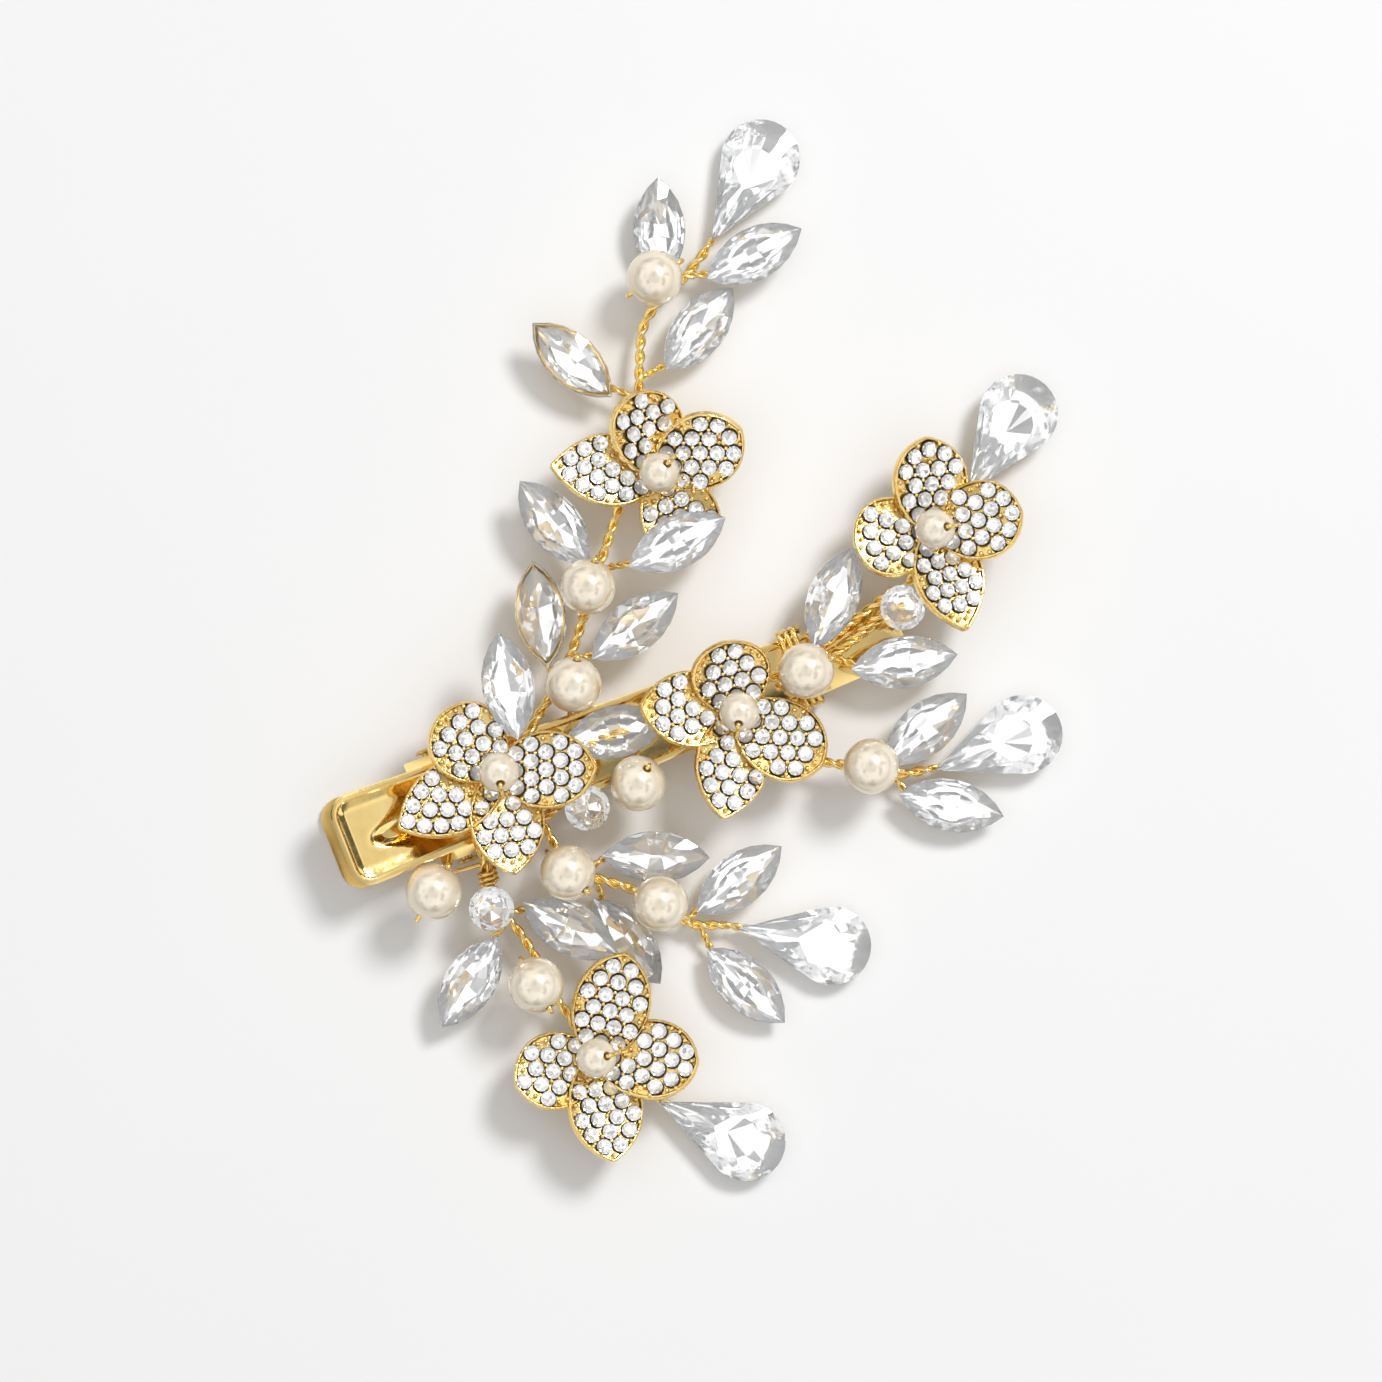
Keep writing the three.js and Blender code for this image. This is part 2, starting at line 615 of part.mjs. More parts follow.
// Each pearl's wire, in from one side and out of the other: how deep it bends in the bore, how
// far it sags and stands off beside the bead, and how far a tail sticks out.
const boreBend = 0.7;
const threadSag = 0.1;
const threadStandOff = 0.25;
const footStandOff = 0.6;
const tailLength = 0.8;

pearls.forEach(([stem, x, y, z, heading, tail], i) => {
  const centre = new THREE.Vector3(x, y, z + armTop + pearlRadius);
  const yaw = THREE.MathUtils.degToRad(heading);
  const along = new THREE.Vector3(Math.cos(yaw), Math.sin(yaw), 0);
  const lying = new THREE.Matrix4().makeRotationZ(yaw - Math.PI / 2).setPosition(centre);
  addPiece(`pearl_${number(i)}`, bead(pearlDiameter, strandDiameter, 10, 7), pearlCoat, lying);

  const beside = pearlRadius + strandDiameter / 2 + restGap;
  const on = (reach, drop) => {
    const place = centre.clone().addScaledVector(along, reach);
    return place.setZ(place.z - drop);
  };
  const side = (way) => [
    on(way * pearlRadius * boreBend, 0),
    on(way * beside, threadSag),
    on(way * (beside + threadStandOff), pearlRadius / 2),
    nearestOnStem(stem, on(way * (beside + footStandOff), pearlRadius)),
  ];
  const exit = tail ? [on(pearlRadius * boreBend, 0), on(beside + tailLength, 0)] : side(1);
  addWire(stem, [...side(-1).reverse(), centre, ...exit], strandDiameter);
});

// ---------------------------------------------------------------- flowers

const petalNeck = 1.4;             // half the width where a petal leaves the hub
const petalSwell = 0.68;           // how fast it swells, as a share of its width
const petalSwellReach = 0.32;      // and how far out, as a share of its length

function petal(length, fullness) {
  const swell = [length * petalSwellReach, petalWidth * petalSwell];
  const shoulder = [length * fullness, petalWidth * petalSwell * fullness];
  const shape = new THREE.Shape();
  shape.moveTo(0, -petalNeck);
  shape.bezierCurveTo(swell[0], -swell[1], shoulder[0], -shoulder[1], length, 0);
  shape.bezierCurveTo(shoulder[0], shoulder[1], swell[0], swell[1], 0, petalNeck);
  const outline = new THREE.Shape(shape.getPoints(6));
  const settings = { depth: petalThickness, bevelEnabled: false };
  return new THREE.ExtrudeGeometry(outline, settings).translate(0, 0, -petalThickness / 2);
}

// One casting: four petals on a hub that the centre wire passes through.
function flower(petals) {
  const upright = new THREE.Matrix4().makeRotationX(Math.PI / 2);
  const hub = new THREE.CylinderGeometry(hubDiameter / 2, hubDiameter / 2, petalThickness, 12);
  const hole = strandDiameter / 2 + restGap;
  const drill = new THREE.CylinderGeometry(hole, hole, petalThickness * 3, 6);
  const blades = petals.map(([heading, length, fullness, pitch, roll]) => {
    return toSolid(petal(length, fullness), pose(0, 0, 0, heading, pitch, roll));
  });
  return toGeometry(joined([toSolid(hub, upright), ...blades]).subtract(toSolid(drill, upright)));
}

// The wire of a flower's pearl: up through the bore, then over the pearl in an arc.
const hookPost = [-0.5, 0.8];      // shares of the pearl's radius
const hookArc = [0.16, 0.55, 0.95];  // radians from straight up

flowers.forEach(([stem, x, y, z, hookTurn, petals], i) => {
  const place = new THREE.Matrix4().makeTranslation(x, y, z + armTop);
  addPiece(`flower_${i + 1}`, flower(petals), gold, place);

  const radius = centrePearlDiameter / 2;
  const pearlHeight = z + armTop + petalThickness / 2 + restGap + radius;
  const upright = new THREE.Matrix4().makeRotationX(Math.PI / 2).setPosition(x, y, pearlHeight);
  const smallBead = bead(centrePearlDiameter, strandDiameter, 10, 5);
  addPiece(`centre_pearl_${i + 1}`, smallBead, pearlCoat, upright);

  const hookHeading = THREE.MathUtils.degToRad(hookTurn);
  const hook = radius + strandDiameter / 2 + restGap;
  const over = (angle) => new THREE.Vector3(
    x + hook * Math.sin(angle) * Math.cos(hookHeading),
    y + hook * Math.sin(angle) * Math.sin(hookHeading),
    pearlHeight + hook * Math.cos(angle),
  );
  const base = new THREE.Vector3(x, y, z + armTop - petalThickness);
  const inBore = (share) => new THREE.Vector3(x, y, pearlHeight + radius * share);
  const post = [base, ...hookPost.map(inBore)];
  const start = nearestOnStem(stem, base);
  if (start.distanceTo(base) > strandDiameter) post.unshift(start);
  addWire(stem, [...post, ...hookArc.map(over)], strandDiameter);
});

for (const [name, solids] of Object.entries(wireWork)) {
  addPiece(name, toGeometry(joined(solids).subtract(joined(seats[name]))), gold);
}

// ---------------------------------------------------------------- bindings

// Wire wound round the upper arm and the stems that lie on it. Each turn follows a
// rectangle whose corners are rounded about the corners of what it holds.
function binding(start) {
  const standOff = bindingDiameter / 2 + restGap;
  const middle = start + bindingTurns / 2;
  const top = laneHeight(start) + stemRadius;
  const flange = start < flangeEnd ? flangeDepth : 0;
  const bottom = undersideAtHinge - armSlope * middle - flange - restGap / 2;
  const reach = halfWidth(start);
  const corners = [[reach, top, 0], [-reach, top, 1], [-reach, bottom, 2], [reach, bottom, 3]];
  const turnPoints = corners.flatMap(([y, z, quarter]) => [0, 1, 2].map((step) => {
    const angle = (Math.PI / 2) * (quarter + step / 2);
    return [y + standOff * Math.cos(angle), z + standOff * Math.sin(angle)];
  }));
  const route = [];
  for (let i = 0; i <= bindingTurns * turnPoints.length; i += 1) {
    const advance = (i / turnPoints.length) * (bindingDiameter + turnGap);
    route.push([start + advance, ...turnPoints[i % turnPoints.length]]);
  }
  return tube(route, bindingDiameter, 1.6);
}

const rearBindingStart = 3.5;
const frontBindingStart = 39;
addPiece('binding_rear', binding(rearBindingStart), gold);
addPiece('binding_front', binding(frontBindingStart), gold);

export default clip;
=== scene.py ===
import math

import bmesh
import bpy
from mathutils import Matrix, Vector


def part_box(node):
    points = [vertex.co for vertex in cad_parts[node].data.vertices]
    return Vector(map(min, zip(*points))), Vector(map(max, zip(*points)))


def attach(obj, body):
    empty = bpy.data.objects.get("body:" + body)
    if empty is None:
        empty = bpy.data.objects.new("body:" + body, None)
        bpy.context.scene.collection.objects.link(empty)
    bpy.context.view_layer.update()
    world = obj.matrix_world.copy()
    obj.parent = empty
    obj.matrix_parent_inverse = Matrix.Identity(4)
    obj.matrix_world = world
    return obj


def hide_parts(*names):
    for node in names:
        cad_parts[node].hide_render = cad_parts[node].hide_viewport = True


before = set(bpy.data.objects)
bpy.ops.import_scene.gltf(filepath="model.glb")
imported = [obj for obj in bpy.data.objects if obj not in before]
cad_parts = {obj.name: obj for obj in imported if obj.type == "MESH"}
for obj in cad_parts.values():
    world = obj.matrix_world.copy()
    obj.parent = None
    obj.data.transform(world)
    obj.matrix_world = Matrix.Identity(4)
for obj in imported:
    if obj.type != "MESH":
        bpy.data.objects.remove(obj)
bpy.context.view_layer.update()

# ---------------------------------------------------------------- lower arm
# The still half of the spring clip: a flat strip stamped from brass sheet, with grip ridges
# across it and two ears turned up for the hinge pin, then gold plated and polished.

MM = 0.001
EDGE_ANGLE = math.radians(32)      # sharper edges than this stay crisp


def add_node(material, kind, inputs=None, **settings):
    """One shader node. Each input is a plain value, or the socket that drives it."""
    made = material.node_tree.nodes.new(kind)
    for setting, value in settings.items():
        setattr(made, setting, value)
    for name, value in (inputs or {}).items():
        if isinstance(value, bpy.types.NodeSocket):
            material.node_tree.links.new(value, made.inputs[name])
        else:
            made.inputs[name].default_value = value
    return made


def new_finish(name, **plain):
    """A material, its main shader with plain values set, and the object's own coordinates."""
    material = bpy.data.materials.new(name)
    material.use_nodes = True
    shader = material.node_tree.nodes["Principled BSDF"]
    for socket, value in plain.items():
        shader.inputs[socket.replace("_", " ")].default_value = value
    place = add_node(material, "ShaderNodeTexCoord").outputs["Object"]
    return material, shader, place


def speckle(material, place, size, low, high):
    """Soft noise whose spots are about size across, as a value from low to high."""
    spots = add_node(material, "ShaderNodeTexNoise", {
        "Vector": place, "Scale": 1 / size, "Detail": 3.0})
    return add_node(material, "ShaderNodeMapRange", {
        "Value": spots.outputs["Fac"], "From Min": 0.3, "From Max": 0.7,
        "To Min": low, "To Max": high}).outputs["Result"]


def between(material, share, first, second):
    """A colour between two, by a driving share."""
    mix = add_node(material, "ShaderNodeMix", data_type="RGBA")
    colours = [socket for socket in mix.inputs if socket.type == "RGBA"]
    colours[0].default_value = (*first, 1)
    colours[1].default_value = (*second, 1)
    material.node_tree.links.new(share, mix.inputs[0])
    return [socket for socket in mix.outputs if socket.type == "RGBA"][0]


def rough_skin(material, shader, height, strength, distance):
    """Fine relief on a finish, as a bump."""
    bump = add_node(material, "ShaderNodeBump", {
        "Height": height, "Strength": strength, "Distance": distance})
    material.node_tree.links.new(bump.outputs["Normal"], shader.inputs["Normal"])


def drive(material, shader, **sockets):
    """Links nodes to a shader's sockets."""
    for name, source in sockets.items():
        material.node_tree.links.new(source, shader.inputs[name.replace("_", " ")])


def gold_plate(name, light, deep, smooth, worn, grain, relief):
    """Gold plating: tone drifts between two golds, polish between smooth and worn."""
    material, shader, place = new_finish(name, Metallic=1.0)
    tone = speckle(material, place, 5 * MM, 0.0, 1.0)
    polish = speckle(material, place, 0.6 * MM, smooth, worn)
    drive(material, shader, Base_Color=between(material, tone, light, deep), Roughness=polish)
    rough_skin(material, shader, speckle(material, place, grain, 0.0, 1.0), relief, 0.05 * MM)
    return material


# A darker copy of the gold for the lower arm and the hinge pin: painted shade, for the shade these
# parts lie in under the upper arm and the spray.
painted_shade_gold = gold_plate(
    "painted_shade_gold_plate", (0.78, 0.55, 0.20), (0.60, 0.38, 0.11), 0.10, 0.22, 1.6 * MM, 0.08)


def merged_copy(node):
    """A CAD node's shape with its triangles joined into whole flat faces."""
    made = bmesh.new()
    made.from_mesh(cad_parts[node].data)
    bmesh.ops.remove_doubles(made, verts=made.verts, dist=0.001 * MM)
    bmesh.ops.dissolve_limit(
        made, angle_limit=math.radians(1), verts=made.verts, edges=made.edges)
    return made


def soften_edges(made, width):
    """Rounds the sharp edges of a shape."""
    sharp = [edge for edge in made.edges
             if len(edge.link_faces) == 2 and edge.calc_face_angle() > EDGE_ANGLE]
    bmesh.ops.bevel(made, geom=sharp, offset=width, offset_type="OFFSET", segments=2,
                    profile=0.5, affect="EDGES", clamp_overlap=True, material=-1)


def add_piece(name, made, materials, body, slot, *nodes):
    """Makes a bmesh a finished piece that rides on a body and stands for these CAD nodes."""
    mesh = bpy.data.meshes.new(name)
    made.to_mesh(mesh)
    made.free()
    for material in materials:
        mesh.materials.append(material)
    mesh.shade_smooth()
    mesh.set_sharp_from_angle(angle=EDGE_ANGLE)
    return settle(bpy.data.objects.new(name, mesh), body, slot, *nodes)


def settle(piece, body, slot, *nodes):
    """Puts a piece in the scene, on its body, and hides the nodes it stands for; its finish slot is
    not used.
    """
    bpy.context.scene.collection.objects.link(piece)
    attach(piece, body)
    if nodes:
        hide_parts(*nodes)
    return piece


lower_strip = merged_copy("lower_arm")
soften_edges(lower_strip, 0.12 * MM)
# The lower arm gets the darker gold, as painted shade.
add_piece("lower_clip_arm", lower_strip, [painted_shade_gold], "lower_jaw", "gold_plate", "lower_arm")

# ---------------------------------------------------------------- hinge pin
# A turned brass pin, gold plated, pushed through the four ears and riveted over at each end
# into a low domed head.

HINGE_HEIGHT = 3.2 * MM
pin_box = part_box("hinge_pin")
pin_reach = pin_box[1].y


def turned(made, profile, centre, axis, steps):
    """Spins an open profile of points about an axis and closes it where it meets itself."""
    points = [made.verts.new(point) for point in profile]
    chain = [made.edges.new(pair) for pair in zip(points, points[1:])]
    bmesh.ops.spin(made, geom=points + chain, cent=centre, axis=axis,
                   angle=math.tau, steps=steps, use_merge=True)
    bmesh.ops.remove_doubles(made, verts=made.verts, dist=0.002 * MM)
    bmesh.ops.recalc_face_normals(made, faces=made.faces)


pin_shape = bmesh.new()
half_pin = [(0, 0), (0.62, 0.02), (0.98, 0.1), (1.15, 0.26), (1.15, 0.42), (1.07, 0.5),
            (0.6, 0.5)]                # distance from the axis, and along it from the end
pin_profile = [(x * MM, -pin_reach + y * MM, HINGE_HEIGHT) for x, y in half_pin]
pin_profile += [(x, -y, z) for x, y, z in reversed(pin_profile)]
turned(pin_shape, pin_profile, (0, 0, HINGE_HEIGHT), (0, 1, 0), 28)
# The pin gets the darker gold, as painted shade.
add_piece("hinge_pin_rivet", pin_shape, [painted_shade_gold], "lower_jaw", "gold_plate", "hinge_pin")

# ---------------------------------------------------------------- spring
# A torsion spring wound from bright spring-steel wire round the pin. One leg lies along the
# lower arm, the other presses up under the finger tab and moves with it.

wire_steel, wire_shader, wire_place = new_finish("bright_spring_steel", Metallic=1.0)
drive(
    wire_steel, wire_shader,
    Base_Color=between(wire_steel, speckle(wire_steel, wire_place, 2 * MM, 0.0, 1.0),
                       (0.62, 0.61, 0.58), (0.42, 0.41, 0.39)),
    Roughness=speckle(wire_steel, wire_place, 0.4 * MM, 0.2, 0.4))
rough_skin(wire_steel, wire_shader, speckle(wire_steel, wire_place, 0.15 * MM, 0.0, 1.0),
           0.15, 0.02 * MM)


def smooth_route(points, spacing):
    """Points every spacing or so along a smooth curve through the given ones."""
    points = [Vector(point) for point in points]
    ends = [2 * points[0] - points[1], *points, 2 * points[-1] - points[-2]]
    route = []
    for before, start, end, after in zip(ends, ends[1:], ends[2:], ends[3:]):
        gaps = [max((b - a).length, 1e-6) ** 0.5
                for a, b in ((before, start), (start, end), (end, after))]
        leave = ((start - before) / gaps[0] - (end - before) / (gaps[0] + gaps[1])
                 + (end - start) / gaps[1]) * gaps[1]
        arrive = ((end - start) / gaps[1] - (after - start) / (gaps[1] + gaps[2])
                  + (after - end) / gaps[2]) * gaps[1]
        steps = max(1, round((end - start).length / spacing))
        for step in range(steps):
            t = step / steps
            route.append(start + leave * t
                         + (3 * (end - start) - 2 * leave - arrive) * t ** 2
                         + (2 * (start - end) + leave + arrive) * t ** 3)
    return [*route, points[-1]]


def add_wires(name, strands, material, body, slot, *nodes):
    """Round wires as one piece. Each strand is its points and its diameter, in millimetres."""
    curve = bpy.data.curves.new(name, "CURVE")
    curve.dimensions = "3D"
    curve.bevel_depth = MM
    curve.bevel_resolution = 3
    curve.use_fill_caps = True
    for points, diameter in strands:
        spline = curve.splines.new("POLY")
        spline.points.add(len(points) - 1)
        for knot, point in zip(spline.points, points):
            knot.co = (*(Vector(point) * MM), 1)
            knot.radius = diameter / 2
        spline.use_smooth = True
    curve.materials.append(material)
    return settle(bpy.data.objects.new(name, curve), body, slot, *nodes)


HINGE = HINGE_HEIGHT / MM          # in millimetres, as wire routes are
SPRING_WIRE = 0.7
COIL_RADIUS = 1.25
COIL_PITCH = 0.85
COIL_TURNS = 4
LEG_REACH = 9.1


def coil_point(turn):
    angle = math.tau * turn - math.pi / 2
    across = (turn - COIL_TURNS / 2 - 0.5) * COIL_PITCH
    return (COIL_RADIUS * math.cos(angle), across, HINGE + COIL_RADIUS * math.sin(angle))


first_turn = coil_point(0)[1]
coil = [(-LEG_REACH, first_turn, 1.45), (-LEG_REACH / 3, first_turn, HINGE - COIL_RADIUS - 0.2)]
coil += [coil_point(step / 24) for step in range(24 * COIL_TURNS + 1)]
add_wires("spring_winding", [(smooth_route(coil, 0.4), SPRING_WIRE)], wire_steel,
          "lower_jaw", "spring_steel", "spring_coil")

leg_side = coil_point(COIL_TURNS)[1] + COIL_PITCH
leg_angles = [math.radians(-60 + 150 * step / 10) for step in range(11)]
leg = [(COIL_RADIUS * math.cos(a), leg_side, HINGE + COIL_RADIUS * math.sin(a)) for a in leg_angles]
leg.append((-LEG_REACH, leg_side, 5.2 + LEG_REACH * math.tan(math.radians(14)) - 0.65))
add_wires("spring_pressing_leg", [(smooth_route(leg, 0.4), SPRING_WIRE)], wire_steel,
          "upper_jaw", "spring_steel", "spring_upper_leg")

# ---------------------------------------------------------------- upper arm
# The moving half, stamped from the same sheet and plated: a raised rim runs round its top,
# the panel inside is pressed down, and the finger tab has a wedge pressed into it.

RIM = 0.62 * MM
STEP = 0.22 * MM
STEP_DROP = 0.2 * MM
DISH = 0.18 * MM
WEDGE_START = -8.7 * MM            # point of the wedge, near the tab's end
WEDGE_SIDE = -0.5 * MM
WEDGE_DEPTH = 0.55 * MM
WEDGE_SPREAD = 0.42
CELL = 0.4 * MM

polished_gold = gold_plate(
    "polished_gold_plate", (0.98, 0.76, 0.34), (0.94, 0.66, 0.22), 0.05, 0.13, 2.4 * MM, 0.06)


def gentle(share):
    """Eases from 0 to 1 as the share goes from 0 to 1."""
    share = min(max(share, 0.0), 1.0)
    return share * share * (3 - 2 * share)


def pressed(x, y, reach):
    """How deep the tab's panel is pressed at a point: a shallow dish, and the wedge in it."""
    along = x - WEDGE_START
    across = abs(y - WEDGE_SIDE)
    wedge = 0.0
    if along > 0:
        wedge = gentle(1 - across / (0.5 * MM + along * WEDGE_SPREAD)) * gentle(along / (2 * MM))
    edge = gentle((reach - abs(y)) / (1.2 * MM))
    return (DISH * edge + WEDGE_DEPTH * wedge * edge) * gentle(-x / (1.5 * MM))


upper_strip = merged_copy("upper_arm")
top_faces = [face for face in upper_strip.faces
             if face.normal.z > 0.94 and face.calc_area() > 80 * MM * MM]
bmesh.ops.inset_region(upper_strip, faces=top_faces, thickness=RIM, depth=0,
                       use_boundary=True, use_even_offset=True)
bmesh.ops.inset_region(upper_strip, faces=top_faces, thickness=STEP, depth=-STEP_DROP,
                       use_boundary=True, use_even_offset=True)
soften_edges(upper_strip, 0.1 * MM)
tab = min((face for face in upper_strip.faces
           if face.normal.z > 0.94 and face.calc_area() > 40 * MM * MM),
          key=lambda face: face.calc_center_median().x)
tab_ends = [vert.co.copy() for vert in tab.verts]
reach = max(abs(corner.y) for corner in tab_ends)
start = min(corner.x for corner in tab_ends)
panel = [tab, *tab.edges, *tab.verts]
cuts = [((start + CELL * step, 0, 0), (1, 0, 0)) for step in range(1, int(-start / CELL) + 1)]
cuts += [((0, CELL * step, 0), (0, 1, 0)) for step in range(-9, 10)]
for spot, normal in cuts:
    panel = bmesh.ops.bisect_plane(upper_strip, geom=panel, dist=0.001 * MM,
                                   plane_co=spot, plane_no=normal)["geom"]
inside = {item for item in panel if isinstance(item, bmesh.types.BMFace)}
for vert in {vert for face in inside for vert in face.verts}:
    if all(face in inside for face in vert.link_faces):
        vert.co.z -= pressed(vert.co.x, vert.co.y, reach)
add_piece("upper_clip_arm", upper_strip, [polished_gold], "upper_jaw", "gold_plate", "upper_arm")

# ---------------------------------------------------------------- crystals
# Machine-cut glass stones in leaf, drop and round outlines. The pavilion is backed with
# silver foil, which throws the light back up through the crown.

CROWN = 1.0 * MM
GIRDLE = 0.3 * MM
PAVILION = 1.6 * MM

clear_glass, glass_shader, glass_place = new_finish(
    "clear_crystal_glass", Transmission_Weight=0.97, IOR=1.5)
drive(
    clear_glass, glass_shader,
    Base_Color=between(clear_glass, speckle(clear_glass, glass_place, 7 * MM, 0.0, 1.0),
                       (1.0, 1.0, 1.0), (0.975, 0.98, 0.985)),
    Roughness=speckle(clear_glass, glass_place, 1.5 * MM, 0.0, 0.012))
silver_foil, foil_shader, foil_place = new_finish("silver_foil_backing", Metallic=0.72)
drive(
    silver_foil, foil_shader,
    Base_Color=between(silver_foil, speckle(silver_foil, foil_place, 3 * MM, 0.0, 1.0),
                       (1.0, 1.0, 1.0), (0.95, 0.955, 0.96)),
    Roughness=speckle(silver_foil, foil_place, 0.5 * MM, 0.01, 0.06))


def stone_place(node):
    """A crystal's place (long axis x, table up z), its length and its width, from the frame."""
    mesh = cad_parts[node].data
    facing = {}
    for face in mesh.polygons:
        key = tuple(round(part, 1) for part in face.normal)
        facing[key] = facing.get(key, Vector()) + face.normal * face.area
    up = max(facing.values(), key=lambda total: total.length).normalized()
    corners = [vertex.co.copy() for vertex in mesh.vertices]
    middle = sum(corners, Vector()) / len(corners)
    tip = max(corners, key=lambda corner: (corner - middle).length)
    along = (middle - tip) - (middle - tip).dot(up) * up
    along.normalize()
    across = up.cross(along)
    reach = [corner.dot(along) for corner in corners]
    spread = [corner.dot(across) for corner in corners]
    top = max(corner.dot(up) for corner in corners)
    centre = (along * (max(reach) + min(reach)) + across * (max(spread) + min(spread))) / 2
    place = Matrix((along, across, up)).transposed().to_4x4()
    place.translation = centre + up * (top - CROWN)
    return place, max(reach) - min(reach), max(spread) - min(spread)


def leaf_outline(length, width, count):
    """Two equal arcs that meet in points on the x axis."""
    half, rise = length / 2, width / 2
    radius = (half * half + rise * rise) / (2 * rise)
    reach = math.asin(half / radius)
    outline = []
    for side in (1, -1):
        for step in range(count // 2):
            angle = side * reach * (1 - 4 * step / count)
            outline.append((radius * math.sin(angle),
                            side * (radius * math.cos(angle) - radius + rise)))
    return outline


def drop_outline(length, width, count):
    """A point at the inner end that swells into a round outer end."""
    radius = width / 2
    centre = length / 2 - radius
    opening = math.pi - math.acos(radius / (length - radius)) - 0.1
    outline = [(-length / 2, 0)]
    for step in range(count - 1):
        angle = opening * (1 - 2 * step / (count - 2))
        outline.append((centre + radius * math.cos(angle), -radius * math.sin(angle)))
    return outline


def round_outline(length, width, count):
    return [(length / 2 * math.cos(math.tau * step / count),
             width / 2 * math.sin(math.tau * step / count)) for step in range(count)]


def layer(outline, share, height):
    return [(x * share, y * share, height) for x, y in outline]


def cut_stone(made, outline, crown, girdle, pavilion, place, keel=0.1):
    """Facets a stone: table, two rows of crown facets, girdle and a foiled pavilion."""
    every_other = outline[::2]
    between_them = outline[1::2]
    tip = abs(outline[0][0]) * keel
    points = [
        *layer(every_other, 0.58, crown), *layer(between_them, 0.79, crown * 0.58),
        *layer(outline, 1, girdle / 2), *layer(outline, 1, -girdle / 2),
        *layer(between_them, 0.56, -pavilion * 0.62),
        (tip, 0, -pavilion), (-tip, 0, -pavilion),
    ]
    verts = [made.verts.new(place @ Vector(point)) for point in points]
    hull = bmesh.ops.convex_hull(made, input=verts)
    unused = {item for item in hull["geom_interior"] + hull["geom_unused"]
              if isinstance(item, bmesh.types.BMVert)}
    bmesh.ops.delete(made, geom=list(unused), context="VERTS")
    up = place.to_3x3() @ Vector((0, 0, 1))
    facets = list({item for item in hull["geom"]
                   if isinstance(item, bmesh.types.BMFace) and item.is_valid})
    bmesh.ops.recalc_face_normals(made, faces=facets)
    for facet in facets:
        facet.normal_update()
        if facet.normal.dot(up) < -0.15:
            facet.material_index = 1


CUTS = {"leaf_crystal": (leaf_outline, 16), "drop_crystal": (drop_outline, 20),
        "round_crystal": (round_outline, 16)}
crystals = {}
for node in sorted(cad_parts):
    kind = node[:-3]
    if kind in CUTS:
        outline_of, count = CUTS[kind]
        place, length, width = stone_place(node)
        outline = outline_of(length, width, count)
        crystals[node] = (place, outline)
        stone = bmesh.new()
        cut_stone(stone, outline, CROWN, GIRDLE, PAVILION, place)
        cut = add_piece(node + "_cut", stone, [clear_glass, silver_foil], "upper_jaw",
                        "crystal", node)
        cut.data.shade_flat()

# ---------------------------------------------------------------- stems, twigs and cups
# Each stem is two gold-plated wires twisted together. Thinner twisted pairs branch off it,
# and each ends in a thin stamped cup that holds the back of a crystal.

STRAND = 0.58
STEM_TWIST = 3.3                   # length of one full twist
TWIG_STRAND = 0.44
TWIG_TWIST = 2.5
ARM_TOP = 6.0                      # top of the upper arm above the origin, at the hinge
ARM_SLOPE = 0.0682
CUP_WALL = 0.2 * MM
CUP_DEPTH = 2.1
CUP_FLOOR = 0.42                   # share of the crystal's outline
CUP_RIM = (0.55, -1.25)            # share of the outline, and height on the crystal's back
WIDE_RIM = (0.94, -0.4)
WIDE_CUPS = ("leaf_crystal_04", "leaf_crystal_07")
TWIG_LEVEL = 0.45 - CUP_DEPTH      # of a twig under its crystal

wire_gold = gold_plate(
    "gold_plated_wire", (0.96, 0.72, 0.27), (0.88, 0.60, 0.18), 0.12, 0.24, 0.5 * MM, 0.12)


def lane(x, y, lift=0.0):
    """A point of a stem that lies along the top of the upper arm, or a little above it."""
    return (x, y, ARM_TOP - ARM_SLOPE * x + 0.9 + lift)


def free(x, y, z):
    """A point of a stem that stands clear of the clip, measured from the arm's top."""
    return (x, y, ARM_TOP + z)


stem_routes = {
    "stem_top": [[
        lane(2.6, 2.5), lane(6, 2.5), lane(9.2, 2.9), lane(12.5, 5.3, 0.05),
        free(16.3, 8.3, -1.1), free(20.6, 13.1, -1.6), free(25.2, 18.9, -1.8),
        free(28.6, 23, -1.9), free(33.2, 29.5, -2), free(35.7, 35.6, -2.2),
        free(37.8, 39.7, -2.9), free(40.3, 41.5, -3.1), free(43.8, 43, -3.3),
        free(46.6, 44.6, -3.5)]],
    "stem_front": [
        [lane(3.2, 0.8), lane(8, 0.9), lane(16, 0.6), lane(26, 0.4), lane(35, 0.2),
         lane(41, 0), lane(44.5, 0.4), lane(47.2, 1.3, 0.1), free(50, 2.2, -1.6),
         free(53.6, 4, -1.2), free(58.2, 7.4, -1.5), free(61, 9.2, -1.9)],
        [lane(27.5, 0.4), lane(30.5, -0.9), lane(34, -4.7, 0.5), free(38.6, -10, -1.8),
         free(42.2, -12.1, -2.3), free(45.2, -14.1, -2.8), free(48.6, -14.9, -3.2)]],
    "stem_side": [[
        lane(3.6, -1), lane(6, -1.6), lane(8.6, -5.2, -0.3), free(9.4, -9, -0.9),
        free(11.4, -12.3, -1.6), free(14.8, -15.1, -2.2), free(17.3, -17.7, -2.6),
        free(19.2, -20.8, -3), free(22.6, -22.4, -3.4)]],
    "stem_bottom": [[
        lane(5.4, -3.2), lane(3.9, -3.2), lane(2.2, -4, 0.15), free(1.7, -6.4, 0.4),
        free(1.4, -9, -0.2), free(0.8, -11.8, -0.9), free(2, -14.2, -1.3),
        free(2.9, -18.2, -1.7), free(3, -21.6, -1.8), free(3.9, -25, -1.9),
        free(5.2, -30.3, -1.9), free(8, -35, -2.9), free(9, -36.4, -3.4)]],
}
